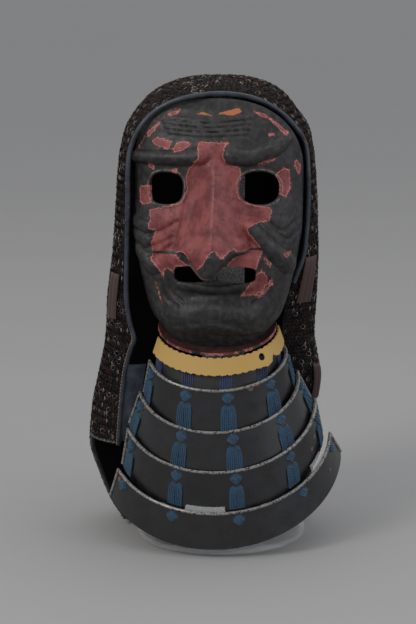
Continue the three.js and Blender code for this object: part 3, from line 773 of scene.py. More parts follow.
@dataclass(frozen=True)
class MailIron:
    """Dark rusty iron wire, each ring a little different, with some whole rings painted pale as painted
    glints.
    """

    name: str = "mail_iron"

    def material(self) -> bpy.types.Material:
        """Mix the finish from the attribute tone, a value for each ring.

        Returns:
            The material.
        """
        mix = Mixer(self.name)
        tone = mix.value("tone")
        colour = mix.blend(mix.ramp(tone, 0.2, 0.9), paint(24, 21, 22), paint(62, 55, 54))
        rust = mix.sum("MULTIPLY", mix.ramp(mix.noise(11.0, 4.0), 0.45, 0.62), 0.35)
        colour = mix.blend(rust, colour, paint(92, 54, 36))
        # painted glints: rings picked at random by their tone, painted almost white-grey
        bright = mix.ramp(tone, 0.86, 0.97, 0, 0.8)
        mix.set(Base_Color=mix.blend(bright, colour, paint(168, 160, 152)), Metallic=0.75,
                Roughness=mix.ramp(mix.noise(1.5), 0.3, 0.7, 0.32, 0.6))
        mix.bump(mix.noise(0.5, 2.0), 0.05)
        return mix.material


@dataclass(frozen=True)
class SilkCord:
    """Twisted indigo cord, its strands shown by fine slanting ridges."""

    name: str
    dark: tuple[int, int, int]
    light: tuple[int, int, int]
    twist: float = 1.1

    def material(self) -> bpy.types.Material:
        """Mix the finish.

        Returns:
            The material.
        """
        mix = Mixer(self.name)
        strands = mix.put("ShaderNodeTexWave", {"Vector": mix.here, "Scale": 0.31 / (self.twist * MM),
                                                "Distortion": 1.2, "Detail": 1.0},
                          wave_type="BANDS", bands_direction="DIAGONAL").outputs["Fac"]
        cloud = mix.noise(5.0, 4.0)
        shade = mix.sum("MULTIPLY", mix.ramp(strands, 0.1, 0.8, 0.35, 1), mix.ramp(cloud, 0.3, 0.7, 0.5, 1))
        colour = mix.blend(shade, paint(*self.dark), paint(*self.light))
        mix.set(Base_Color=colour, Roughness=mix.ramp(cloud, 0.3, 0.7, 0.55, 0.8), Sheen_Weight=0.25)
        mix.bump(strands, 0.25)
        mix.bump(mix.noise(0.3, 2.0), 0.06)
        return mix.material


@dataclass(frozen=True)
class ClearPlastic:
    """Clear acrylic with faint smears and fine scratches."""

    name: str = "clear_plastic"

    def material(self) -> bpy.types.Material:
        """Mix the finish.

        Returns:
            The material.
        """
        mix = Mixer(self.name)
        tint = mix.blend(mix.ramp(mix.noise(30.0, 4.0), 0.4, 0.7), paint(250, 252, 253), paint(240, 245, 247))
        mix.set(Base_Color=tint, Roughness=mix.ramp(mix.noise(9.0, 5.0), 0.45, 0.7, 0.01, 0.07), IOR=1.49,
                Transmission_Weight=1.0)
        mix.bump(mix.noise(0.8, 3.0, stretch=(1, 1, 0.1)), 0.004)
        return mix.material


class Finish(Enum):
    """The finishes of the object's pieces."""

    LACQUER = FlakedLacquer()
    PLATE = PlateLacquer()
    GILT = GiltLeather()
    MAIL = MailIron()
    CORD = SilkCord("indigo_cord", (6, 20, 38), (26, 84, 116))
    BAND_CORD = SilkCord("band_cord", (16, 22, 44), (62, 78, 130), 0.7)
    CLEAR = ClearPlastic()
    MASK_BACK = Plain("mask_back_lacquer", (40, 22, 22), (66, 32, 30), (90, 60, 50), rough=(0.5, 0.7))
    PLATE_BACK = Plain("plate_back_lacquer", (14, 14, 16), (26, 25, 26), (70, 52, 42), rough=(0.4, 0.6))
    BAND = Plain("band_lacquer", (14, 14, 17), (30, 30, 34), (84, 78, 74), rough=(0.35, 0.55), coat=0.2)
    CLOTH = Plain("hood_cloth", (16, 13, 12), (30, 25, 22), (48, 40, 34), grain=0.5, depth=0.25,
                  rough=(0.8, 0.95))
    PIPING = Plain("rolled_leather", (20, 24, 31), (44, 52, 64), (112, 116, 122), grain=0.7, depth=0.15,
                   rough=(0.34, 0.55), coat=0.15)
    FACING = Plain("facing_leather", (50, 58, 70), (84, 92, 106), (128, 130, 134), patch=12.0, grain=0.7,
                   rough=(0.4, 0.6))
    BROWN = Plain("brown_leather", (34, 22, 18), (66, 44, 34), (120, 96, 78), patch=5.0, rough=(0.42, 0.6))
    THREAD = Plain("gold_thread", (128, 96, 44), (196, 160, 92), (228, 204, 150), patch=3.0, grain=0.4,
                   rough=(0.45, 0.65))
    GREY = Plain("studio_floor", (156, 155, 154), (159, 158, 157), (157, 156, 155), patch=600.0, grain=4.0,
                 depth=0.02, rough=(0.8, 0.9), wear=0.9)

    def material(self) -> bpy.types.Material:
        """The finish's material, made once.

        Returns:
            The material that has the finish's name, which may be one of the frame's own, or a new one.
        """
        return bpy.data.materials.get(self.value.name) or self.value.material()


# ---- the mask --------------------------------------------------------------------------------------


class Form(Enum):
    """How a fold of the face rises across its width."""

    SWELL = "a soft swelling"
    ROLL = "a thick roll with steep sides"
    GROOVE = "a narrow groove"

    def across(self, distance: Array, radius: Array) -> Array:
        """The share of its height at a distance from the fold's line.

        Args:
            distance: The distance.
            radius: The fold's radius there.

        Returns:
            The share.
        """
        off = distance / radius
        if self is Form.ROLL:
            return np.clip(1 - off**2, 0, 1) ** 0.62
        if self is Form.GROOVE:
            return -np.exp(-2.2 * off**2)
        return np.exp(-1.5 * off**2)


@dataclass(frozen=True)
class Fold:
    """One fold of the face: its height, its radius at both ends and the line that it follows."""

    form: Form
    height: float
    ends: tuple[float, float]
    line: tuple[tuple[float, float], ...]

    def rise(self, u: Array, v: Array) -> Array:
        """How far the fold lifts the face."""
        gap, along = nearest(curve_through(self.line), u, v)
        return self.height * self.form.across(gap, lerp(self.ends[0], self.ends[1], along))


FOLDS = (
    Fold(Form.ROLL, 7.5, (6.5, 9), ((-82, 41), (-50, 39), (-22, 40), (-13, 42))),
    Fold(Form.ROLL, 7.5, (9, 6.5), ((16, 42), (37, 40.5), (59, 50), (68, 61))),
    Fold(Form.SWELL, -6, (22, 20), ((-54, 9), (-40, 10))),
    Fold(Form.SWELL, -6, (20, 22), ((38, 11), (52, 10))),
    Fold(Form.ROLL, 1.5, (2.2, 2.2), ((-52, 79), (-8, 75), (34, 79))),
    Fold(Form.ROLL, 1.5, (2.2, 2.2), ((-50, 74), (-8, 70.5), (34, 74))),
    Fold(Form.ROLL, 1.5, (2.2, 2.2), ((-48, 69), (-8, 66), (34, 69))),
    Fold(Form.ROLL, 1.5, (2.2, 2.2), ((-44, 64), (-8, 61.5), (32, 64))),
    Fold(Form.SWELL, 3, (8, 8), ((-40, -57), (2, -54), (44, -57))),
    Fold(Form.ROLL, 4.5, (4.5, 4.5), ((-32, -84), (2, -88), (37, -84))),
    Fold(Form.SWELL, -3, (8, 8), ((-20, -96), (24, -96))),
    Fold(Form.SWELL, 5, (16, 16), ((-26, -114), (2, -106), (30, -114))),
    Fold(Form.ROLL, 1.6, (3, 3), ((-36, -128), (2, -124), (33, -131))),
    Fold(Form.ROLL, 7, (7.5, 9), ((36, -26), (46, -37), (57, -48), (73, -64))),
    Fold(Form.GROOVE, 1.8, (2.5, 2.5), ((53, -21), (66, -30), (81, -19))),
    Fold(Form.GROOVE, 1.8, (2.5, 2.5), ((62, -32), (72, -38), (82, -28))),
    Fold(Form.GROOVE, 2.2, (2.6, 2.2), ((-62, -35), (-48, -30), (-35, -22))),
    Fold(Form.GROOVE, 2.2, (2.6, 2.2), ((-62, -47), (-50, -43), (-40, -37))),
    Fold(Form.GROOVE, 2.2, (2.6, 2.2), ((-62, -58), (-51, -53), (-41, -45))),
    Fold(Form.ROLL, 3.6, (6, 6.5), ((-82, -22), (-66, -28))),
    Fold(Form.ROLL, 3.6, (6, 6.5), ((-82, -35), (-66, -42))),
    Fold(Form.ROLL, 4.2, (6.5, 7), ((-80, -49), (-68, -58), (-58, -68))),
    Fold(Form.GROOVE, 2, (2.2, 2.2), ((-51, -80), (-46, -97), (-33, -105))),
    Fold(Form.GROOVE, 1.6, (2, 2), ((-43, -80), (-41, -90), (-28, -101))),
    Fold(Form.GROOVE, 2, (2.2, 2.2), ((54, -78), (51, -92), (38, -101))),
    Fold(Form.GROOVE, 1.6, (2, 2), ((46, -78), (43, -88), (32, -95))),
    Fold(Form.GROOVE, 1.6, (3, 3), ((-23, 29), (-28, -10), (-36, -50))),
    Fold(Form.GROOVE, 1.6, (3, 3), ((24, 29), (31, -10), (38, -46))),
    Fold(Form.SWELL, 3, (9, 9), ((-27, -45), (-22, -48))),
    Fold(Form.SWELL, 3, (9, 9), ((25, -43), (29, -41))),
)

# Patches of red lacquer that is left on the face, each an outline in the face's own plane.
RED = (
    ((-13, 55), (15, 54), (10.5, 49), (10, 41), (12.5, 34.5), (26, 30), (27, 21), (26, 8), (34, -4),
     (47.5, -7), (54.5, -7.5), (56.5, -12), (54, -20.5), (43.5, -23), (34.5, -27.5), (35, -31.5),
     (45.5, -43.5), (48.5, -49), (45, -60.5), (41, -71.5), (28, -69), (14, -66), (20, -58), (26, -53.5),
     (22.5, -47.5), (16.5, -52.5), (12.5, -58), (7.5, -51), (3.5, -49.5), (0, -54.5), (-6, -63),
     (-13.5, -69.5), (-18, -64), (-21, -58), (-25, -53), (-30, -51), (-36, -53), (-30, -60),
     (-17, -66.5), (-35, -65.5), (-38, -72), (-43, -68), (-47.5, -70.5), (-48, -76.5), (-54, -68),
     (-62, -58.5), (-60, -56), (-61.5, -45), (-57, -31), (-64.5, -31), (-63, -20), (-64, -12),
     (-48, -8), (-32, -4), (-26, 8), (-27, 20.5), (-24.5, 29), (-17, 36), (-14, 39), (-15.5, 52)),
    ((-50, 80), (-42, 84), (-33.5, 86.5), (-38, 81), (-42, 79.5)),
    ((-68, 63), (-56, 73.5), (-54, 72.5), (-61.5, 63), (-66, 58.5)),
    ((-69.5, 59), (-75.5, 48.5), (-79, 47)),
    ((-57, 59), (-41, 55), (-45, 47), (-57, 50.5), (-62, 55)),
    ((-37, 53.5), (-29, 55), (-20, 53.5), (-32, 45.5), (-38, 44.5), (-40, 47)),
    ((-74.5, 11), (-64, 12.5), (-61.5, -5), (-71.5, -7), (-75, -2.5)),
    ((-65, 33), (-60, 33), (-58.5, 30.5), (-59.5, 27), (-65, 30.5)),
    ((-40.5, 28.5), (-35.5, 28.5), (-36.5, 23.5), (-40, 23.5)),
    ((36.5, 85), (46, 83), (59.5, 73.5), (70.5, 65), (69, 61), (53, 76.5), (42, 80.5)),
    ((52, 63), (56.5, 64), (57, 61.5), (53.5, 59.5)),
    ((43.5, 34.5), (59, 40.5), (59, 38), (43.5, 33)),
    ((67, 31), (72, 28.5), (73, 11), (69.5, 2), (62, 5.5), (63.5, 12.5), (58.5, 24)),
    ((75.5, 36.5), (78.5, 38.5), (82, 33), (80.5, 23.5), (78, 28)),
    ((48.5, -67.5), (51, -71), (53.5, -79), (49, -88.5), (41.5, -93), (27.5, -93.5), (35.5, -83),
     (41, -73.5)),
    ((57, -76.5), (58, -82.5), (45, -96.5), (43, -94.5), (53, -84)),
    ((50, -55), (57, -62), (55.5, -66), (50, -58)),
    ((68, -52.5), (74.5, -48.5), (72.5, -57)),
    ((-57, -80), (-53.5, -91), (-49.5, -104), (-54, -95)),
    ((-30, -143), (-14, -146), (4, -147), (20, -146), (34, -142), (34, -150), (-30, -150)),
)
# Streaks worn down to bare leather at the top of the forehead.
BARE = (
    ((-22.5, 80.5), (-12.5, 83.5), (-1.5, 79.5), (-12, 81)),
    ((2, 82), (8.5, 84), (21.5, 88), (25.5, 84.5), (17.5, 80)),
)


@dataclass(frozen=True)
class Hole:
    """An opening of the mask with a rounded outline."""

    u: float
    v: float
    half: float
    rise: float
    power: float
    rim: float = 1.1

    def distance(self, u: Array, v: Array) -> Array:
        """Distance from the hole's edge, negative inside it."""
        size = (np.abs((u - self.u) / self.half) ** self.power
                + np.abs((v - self.v) / self.rise) ** self.power) ** (1 / self.power)
        return (size - 1) * min(self.half, self.rise)


@dataclass
class FaceMask:
    """The lacquered full-face mask with its chin flange."""

    columns: int = 176
    rows: tuple[int, int, int] = (122, 12, 78)
    wall: float = 3.0
    tilt: float = 6.0
    rear: tuple[float, float] = (-33.0, 344.0)
    crown: float = 97.0
    shoulder: float = 30.0
    foot: float = -158.0
    power: float = 2.3
    nose_u: float = 1.5
    sections: Table = Table({
        97: (83.5, 25), 85: (83.5, 31), 70: (83.5, 37), 50: (83.5, 43), 30: (83.5, 45), 0: (83.5, 44),
        -27: (83, 45), -44: (80.5, 46), -63: (77.5, 47), -80: (73.5, 45), -94: (70, 41), -114: (62.5, 42),
        -126: (53, 38), -134: (47, 28), -142: (41, 20), -150: (36, 13), -160: (30, 8),
    })
    nose: Table = Table({
        40: (10, 0), 30: (11, 5), 10: (16, 13), -20: (25, 22), -45: (35, 28), -60: (36, 32), -74: (36, 31),
        -80: (36, 28),
    })
    nose_edge: Table = Table({
        -38: (-51,), -34: (-52.5,), -29: (-51,), -24: (-53,), -20: (-59,), -17: (-65,), -13: (-70.5,),
        -7: (-77.5,), 0: (-79,), 5: (-75,), 9: (-70,), 13.5: (-64,), 17: (-56,), 21: (-50,), 31: (-50,),
        38: (-46,),
    })
    nose_root: Table = Table({
        -38: (-54,), -30: (-54,), -20: (-57,), -10: (-60,), 0: (-61,), 10: (-60,), 20: (-56,), 30: (-53,),
        38: (-49,),
    })
    eyes: tuple[Hole, ...] = (Hole(-47, 9.5, 17, 15.5, 2.8), Hole(44, 11, 19.5, 16, 2.3))
    mouth: Hole = Hole(2.5, -73, 40, 8, 5, 0.4)

    def world(self, u: Array, v: Array, w: Array) -> Array:
        """Points of the face's own frame as points of the object's."""
        c = math.cos(math.radians(self.tilt))
        s = math.sin(math.radians(self.tilt))
        return np.stack([u, self.rear[0] + v * s - w * c, self.rear[1] + v * c + w * s], axis=-1)

    def lay(self, shares: Array) -> tuple[Array, ...]:
        """Lay the sheet's cells over the face.

        Args:
            shares: Across the face, and down it from the top edge.

        Returns:
            u, v and w of each point, its angle round the section and how much of it is the nose's.
        """
        side = np.radians(lerp(-90, 90, shares[:, 0]))
        across = bend(np.sin(side), 2 / self.power)
        arch = np.clip(1 - np.abs(across) ** self.power, 0, 1) ** (1 / self.power)
        top = lerp(self.shoulder, self.crown, arch)
        edge, = self.nose_edge(across * 79)
        root, = self.nose_root(across * 79)
        upper, under, lower = np.array(self.rows) / sum(self.rows)
        down = shares[:, 1]
        on_top = down <= upper
        below = down > upper + under
        turn = np.clip((down - upper) / under, 0, 1)
        v = np.where(on_top, lerp(top, edge, down / upper), lerp(edge, root, turn))
        v = np.where(below, lerp(root, self.foot, (down - upper - under) / lower), v)
        nose = np.where(on_top, 1.0, np.where(below, 0.0, np.cos(turn * math.pi / 2) ** 0.7))
        nose_v = np.where(on_top, v, edge)
        half, deep = self.sections(v)
        u = half * across
        w = deep * np.cos(side).clip(0, 1) ** (2 / self.power)
        out = np.stack([np.sin(side) * deep, np.cos(side) * half])
        out /= np.linalg.norm(out, axis=0)
        calm = smooth(np.cos(side) / 0.45) * smooth((top - v) / 20)
        height = sum(fold.rise(u, v) for fold in FOLDS) * calm
        nose_half, ridge = self.nose(nose_v)
        off = np.clip(np.abs(u - self.nose_u) / nose_half, 0, 1)
        tip = 1 - 0.16 * smooth((edge + 7 - nose_v) / 7)
        height += np.where(nose_v < 40, ridge * (1 - off) ** 1.15 * tip * nose, 0)
        for hole in (*self.eyes, self.mouth):
            height += hole.rim * np.exp(-((hole.distance(u, v) - 1.0) / 1.8) ** 2)
        return u + out[0] * height, v, w + out[1] * height, side, nose

    def place(self, shares: Array) -> Array:
        """Points of the mask for its shares."""
        u, v, w, _, _ = self.lay(shares)
        return self.world(u, v, w)

    def cut(self, shares: Array) -> Array:
        """Positive in the eyes, the mouth and below the neck.

        Args:
            shares: Across the sheet and down it, each from 0 to 1.

        Returns:
            The depth in what is cut away.
        """
        u, v, w, _, _ = self.lay(shares)
        holes = [-hole.distance(u, v) for hole in self.eyes]
        holes.append(np.where(w < 57, -self.mouth.distance(u, v), -1.0))
        point = self.world(u, v, w)
        dip = math.radians(DIP)
        neck = (NECK["flange_root"][3] - 2 - point[:, 2]) * math.cos(dip)
        neck += (point[:, 1] - NECK["flange_root"][2]) * math.sin(dip)
        return np.max([*holes, neck], axis=0)

    def red(self, shares: Array) -> Array:
        """Distance inside the red lacquer, negative where it has flaked away."""
        u, v, _, _, nose = self.lay(shares)
        inside = np.max([depth_in(np.array(patch), u, v) for patch in RED], axis=0)
        return np.where((nose > 0) & (nose < 0.98), -6.0, inside)

    def bare(self, shares: Array) -> Array:
        """Distance inside the bare streaks."""
        u, v, _, _, _ = self.lay(shares)
        return np.max([depth_in(np.array(patch), u, v) for patch in BARE], axis=0)

    def rim(self, shares: Array) -> Array:
        """Distance from the edge of the nearest eye."""
        u, v, _, _, _ = self.lay(shares)
        return np.min([hole.distance(u, v) for hole in self.eyes], axis=0)

    def build(self) -> bpy.types.Object:
        """Build the mask and its chin flange and dress them.

        Returns:
            The mask.
        """
        face = web(self.columns, sum(self.rows), self.place, (240, 255), self.cut,
                   {"red": self.red, "bare": self.bare, "rim": self.rim})
        face_away(face, np.array([0.0, 0.0, 330.0]))
        wall = RingWall(NECK["flange_root"], NECK["flange_lip"])
        angles = (-98.0, 98.0)
        flange = web(90, 12, lambda s: wall.at(lerp(*angles, s[:, 0]), s[:, 1] * wall.length, 0),
                     (200, 20), None,
                     {"red": lambda s: 0.6 + 2.4 * np.sin(s[:, 0] * 41) * np.sin(s[:, 0] * 17 + 1),
                      "bare": lambda s: np.full(len(s), -9.0), "rim": lambda s: np.full(len(s), 9.0)})
        face_away(flange, np.array([0.0, 0.0, 260.0]))
        dress = Dressed("mask", Finish.LACQUER.material(), "lacquer", ("mask_shell",), self.wall,
                        lining=Finish.MASK_BACK.material())
        return dress.make(joined(face, flange))


# ---- the throat guard ------------------------------------------------------------------------------

DIP = 32.6  # how far the neck rings dip to the front, in degrees
REAR = 0.8
# Half width, depth, and the front point's y and z of each ring round the neck.
NECK = {
    "flange_root": np.array([45, 24, -60, 200.0]),
    "flange_lip": np.array([59, 43, -76, 194.4]),
    "gilt_top": np.array([61, 44, -77.5, 193.0]),
    "gilt_foot": np.array([66.5, 48.5, -82, 175.3]),
    "band_top": np.array([59, 43, -75.5, 186.0]),
    "band_foot": np.array([63, 50, -80, 154.0]),
    "rim_a": np.array([67.9, 52.9, -84, 161.9]),
    "rim_b": np.array([79.4, 74.4, -92, 122.1]),
    "rim_c": np.array([95.8, 94.4, -100, 84.1]),
    "rim_d": np.array([109.9, 108.2, -108, 44.8]),
    "foot_d": np.array([121, 129, -111, 9.0]),
}
GROWTH = np.array([1, 1, -math.cos(math.radians(DIP)), -math.sin(math.radians(DIP))])


@dataclass
class RingWall:
    """A wall round the neck between two rings."""

    top: Array
    foot: Array

    @property
    def length(self) -> float:
        """How far the foot lies below the top at the front."""
        return float(np.hypot(*(self.foot - self.top)[2:]))

    def at(self, angle: Array, far: Array, off: Array) -> Array:
        """Points at an angle from the front, a distance down and a distance out from the face.

        Args:
            angle: The angle in degrees, to the right.
            far: The distance down the wall.
            off: The distance out from its face.

        Returns:
            The points.
        """
        angle, far, off = np.broadcast_arrays(np.asarray(angle, float), far, off)
        rings = self.top + (self.foot - self.top) * (far / self.length)[..., None] + off[..., None] * GROWTH
        wide, deep, y, z = np.moveaxis(rings, -1, 0)
        c = np.cos(np.radians(angle))
        forward = deep * np.where(c < 0, REAR, 1) * c - deep
        dip = math.radians(DIP)
        return np.stack([wide * np.sin(np.radians(angle)), y - forward * math.cos(dip),
                         z - forward * math.sin(dip)], axis=-1)

    def turn(self, angle: float, far: float) -> float:
        """How many degrees round a millimetre is, near an angle."""
        one, two = self.at(np.array([angle - 1, angle + 1]), far, 0.0)
        return 2.0 / float(np.linalg.norm(two - one))


@dataclass
class Lame:
    """One laced plate of the throat guard."""

    name: str
    top: str
    foot: str
    left: float
    right: float
    lap: float
    chips: tuple[tuple[float, float, float], ...] = ()
    wall: float = 1.6
    tail: float = 1.16
    bead: float = 1.5
    corner: float = 2.5

    def shape(self) -> RingWall:
        """The wall that the lame follows, behind the next lame's rim.

        Returns:
            The wall.
        """
        top, foot = NECK[self.top], NECK[self.foot]
        if self.lap:
            foot = top + (foot - self.lap * GROWTH - top) * self.tail
        return RingWall(top, foot)

    def build(self) -> bpy.types.Object:
        """Build the plate with its rolled rim, and dress it.

        Returns:
            The plate.
        """
        wall = self.shape()

        def spot(shares: Array) -> tuple[Array, Array]:
            """The angle and the distance down for each share, with the corners rounded."""
            angle = lerp(self.left, self.right, shares[:, 0])
            far = shares[:, 1] * wall.length
            round_off = smooth(1 - (angle - self.left) / 6) + smooth(1 - (self.right - angle) / 6)
            return angle, far + self.corner * round_off * (0.5 - shares[:, 1])

        def chip(shares: Array) -> Array:
            """Distance inside the nearest chip."""
            angle, far = spot(shares)
            gaps = [size - np.hypot((angle - a) / wall.turn(a, f), far - f) for a, f, size in self.chips]
            return np.max(gaps, axis=0) if gaps else np.full(len(shares), -9.0)

        def rim(shares: Array) -> Array:
            """Distance from the plate's edge, where it is painted pale: partly rubbed lacquer, partly a
            painted highlight.
            """
            angle, far = spot(shares)
            return np.minimum(far - 1.5, np.minimum(angle - self.left, self.right - angle) / 0.6 + 0.8)

        plate = web(120, 26, lambda s: wall.at(*spot(s), 0.0), (200, wall.length), None,
                    {"chip": chip, "rim": rim})
        face_away(plate, np.array([0.0, 0.0, 300.0 if self.name == "lame_1" else 200.0]))
        angles = np.linspace(self.left, self.right, 110)
        steps = np.linspace(wall.length - 2, 2, 14)
        edge = np.vstack([wall.at(self.left, steps, 0.2), wall.at(angles, 0.6, 0.4),
                          wall.at(self.right, steps[::-1], 0.2)])
        bead = tubes([edge], self.bead, 8)
        # the bead's rim value of 0.4 paints all of it pale: rubbed lacquer and a painted highlight on the
        # rolled rim
        for key in ("chip", "rim"):
            layer = bead.verts.layers.float.new(key)
            for vertex in bead.verts:
                vertex[layer] = 0.4 if key == "rim" else -3.0
        body = Dressed(self.name + "_plate", Finish.PLATE.material(), "black_lacquer", (self.name,),
                       self.wall, lining=Finish.PLATE_BACK.material())
        Dressed(self.name + "_rim", Finish.PLATE.material(), "black_lacquer").make(bead)
        return body.make(plate)


@dataclass
class ThroatGuard:
    """Two neck bands and four lames, held together by five columns of lacing."""

    lames: tuple[Lame, ...] = (
        Lame("lame_1", "rim_a", "rim_b", -76, 108, 5, ((33, 3, 3.0), (40, 2, 2.0))),
        Lame("lame_2", "rim_b", "rim_c", -73, 103, 5, ((-60, 5, 1.5),)),
        Lame("lame_3", "rim_c", "rim_d", -66, 98, 8, ((78, 18, 2.5), (72, 24, 2.5), (-64, 20, 2.0))),
        Lame("lame_4", "rim_d", "foot_d", -61, 94, 0, ((-58, 8, 3.0), (-55, 14, 2.4), (76, 20, 2.0))),
    )
    # Angle from the front at which each column crosses the inner band and the four lames.
    columns: tuple[tuple[float, ...], ...] = (
        (-66, -66, -65, -58, -53), (-24, -22, -21, -20, -19), (12, 13, 15, 15, 15),
        (50, 53, 53, 51, 52), (86, 94, 92, 87, 86),
    )
    cord: float = 0.95
    bundle: float = 3.7
    threads: int = 4
    knot_pitch: float = 1.7
    knot_half: float = 3.6
    knot_span: tuple[float, float] = (5.2, 11.6)
    slant: float = 0.75
    fall_pitch: float = 1.75
    fall_from: float = 15.2

    def bands(self) -> None:
        """The gilt leather band and the black inner band with its cords."""
        gilt = RingWall(NECK["gilt_top"], NECK["gilt_foot"])
        long = gilt.length

        def ragged(shares: Array) -> Array:
            """Positive past the gilt leather's worn edges, in its tear and in its hole."""
            angle = lerp(-70, 100, shares[:, 0])
            wave = 0.5 * np.sin(angle * 0.9) + 0.4 * np.sin(angle * 2.3 + 1) + 0.3 * np.sin(angle * 5.1)
            tear = 5 * np.exp(-((angle - 62) / 4) ** 2)
            hole = 3.4 - np.hypot((angle - 47) * 1.1, (shares[:, 1] - 0.42) * long)
            above = 0.7 + wave - shares[:, 1] * long
            below = 0.7 - wave + tear - (1 - shares[:, 1]) * long
            return np.max([above, below, hole], axis=0)

        def lay(shares: Array) -> Array:
            """Points of the gilt leather, curling out beside its tear."""
            angle = lerp(-70, 100, shares[:, 0])
            curl = 2.6 * np.exp(-((angle - 52) / 8) ** 2) * smooth(shares[:, 1] * 1.3)
            return gilt.at(angle, shares[:, 1] * long, curl)

        leather = face_away(web(190, 20, lay, (190, long), ragged), np.array([0.0, 0.0, 260.0]))
        Dressed("gilt_neck_band", Finish.GILT.material(), "gilt_leather", ("gilt_band",), 1.8,
                lining=Finish.BROWN.material()).make(leather)
        band = RingWall(NECK["band_top"], NECK["band_foot"])
        strip = web(120, 16, lambda s: band.at(lerp(-72, 98, s[:, 0]), s[:, 1] * band.length, 0), (180, 33))
        Dressed("inner_neck_band", Finish.BAND.material(), "black_leather", ("inner_band",), 1.6).make(
            face_away(strip, np.array([0.0, 0.0, 260.0])))
        lines = []
        for column in self.columns:
            turn = band.turn(column[0], 16)
            for k in range(-3, 3):
                far = np.linspace(2, band.length - 2, 8)
                lines.append(band.at(column[0] + (k + 0.5) * 2.1 * turn, far, 0.5))
        Dressed("band_cords", Finish.BAND_CORD.material(), "indigo_lace").make(tubes(lines, 0.75))

    def spread(self, pitch: float) -> list[float]:
        """How far each thread of a bundle lies from its middle."""
        return [(thread - (self.threads - 1) / 2) * pitch for thread in range(self.threads)]

    def knot(self, shape: RingWall, angle: float) -> list[Array]:
        """One knot, of two crossed bundles.

        Args:
            shape: The lame's wall.
            angle: Where the column crosses it, in degrees from the front.

        Returns:
            The line of each thread.
        """
        turn = shape.turn(angle, self.knot_span[0])
        t = np.linspace(0, 1, 9)
        lines = []
        for side, over in ((-1, 0.2), (1, 1.3)):
            lift = 0.9 + over * np.sin(t * math.pi) - 2.4 * (2 * t - 1) ** 8
            for shift in self.spread(self.knot_pitch):
                x = side * lerp(-self.knot_half, self.knot_half, t) + shift * self.slant
                far = lerp(*self.knot_span, t) - side * shift * self.slant
                lines.append(shape.at(angle + x * turn, far, lift))
        return lines

    def fall(self, shape: RingWall, angle: float) -> list[Array]:
        """The two bundles that run down from a knot, behind the next lame's rim.

        Args:
            shape: The lame's wall.
            angle: Where the column crosses it, in degrees from the front.

        Returns:
            The line of each thread.
        """
        turn = shape.turn(angle, self.knot_span[0])
        t = np.concatenate([np.linspace(0, 0.2, 5), np.linspace(0.3, 1, 8)])
        lines = []
        for side in (-1, 1):
            middle = side * (self.bundle - 0.7 * (1 - smooth(t * 3)))
            off = 0.95 - 2.6 * (1 - smooth(t * 9)) + 0.35 * np.sin(t * math.pi)
            for shift in self.spread(self.fall_pitch):
                far = lerp(self.fall_from + 0.21 * shift**2, shape.length - 3, t)
                x = middle + shift * (0.82 + 0.18 * smooth(t * 4))
                lines.append(shape.at(angle + x * turn, far, off))
        return lines

    def lacing(self) -> None:
        """Each column's crossed knots and its pairs of cords, down the lames."""
        for k, column in enumerate(self.columns):
            lines: list[Array] = []
            for lame, angle in zip(self.lames, column[1:]):
                lines += self.knot(lame.shape(), angle)
                if lame.lap:
                    lines += self.fall(lame.shape(), angle)
            Dressed(f"lacing_{k + 1}", Finish.CORD.material(), "indigo_lace", (f"lace_{k + 1}",)).make(
                tubes(lines, self.cord))

    def build(self) -> None:
        """Build and dress the throat guard."""
        self.bands()
        for lame in self.lames:
            lame.build()
        self.lacing()


# ---- the hood --------------------------------------------------------------------------------------

# The edge of the face opening from the front, from the left hem over the forehead to the right hem.
OPENING = (
    (-100, 94), (-98, 120), (-95, 150), (-91, 175), (-85, 195), (-81, 206), (-85, 222), (-88, 245),
    (-88, 280), (-86, 340), (-85.5, 380), (-81.5, 400), (-70, 420), (-53, 434.5), (-30, 443.5),
    (0, 447.5), (28, 445), (50, 436.5), (70, 420), (83.5, 400), (88, 370), (88, 330), (84.5, 290),
    (77, 268), (66, 236), (62, 205), (62, 165), (64, 130), (66, 94),
)


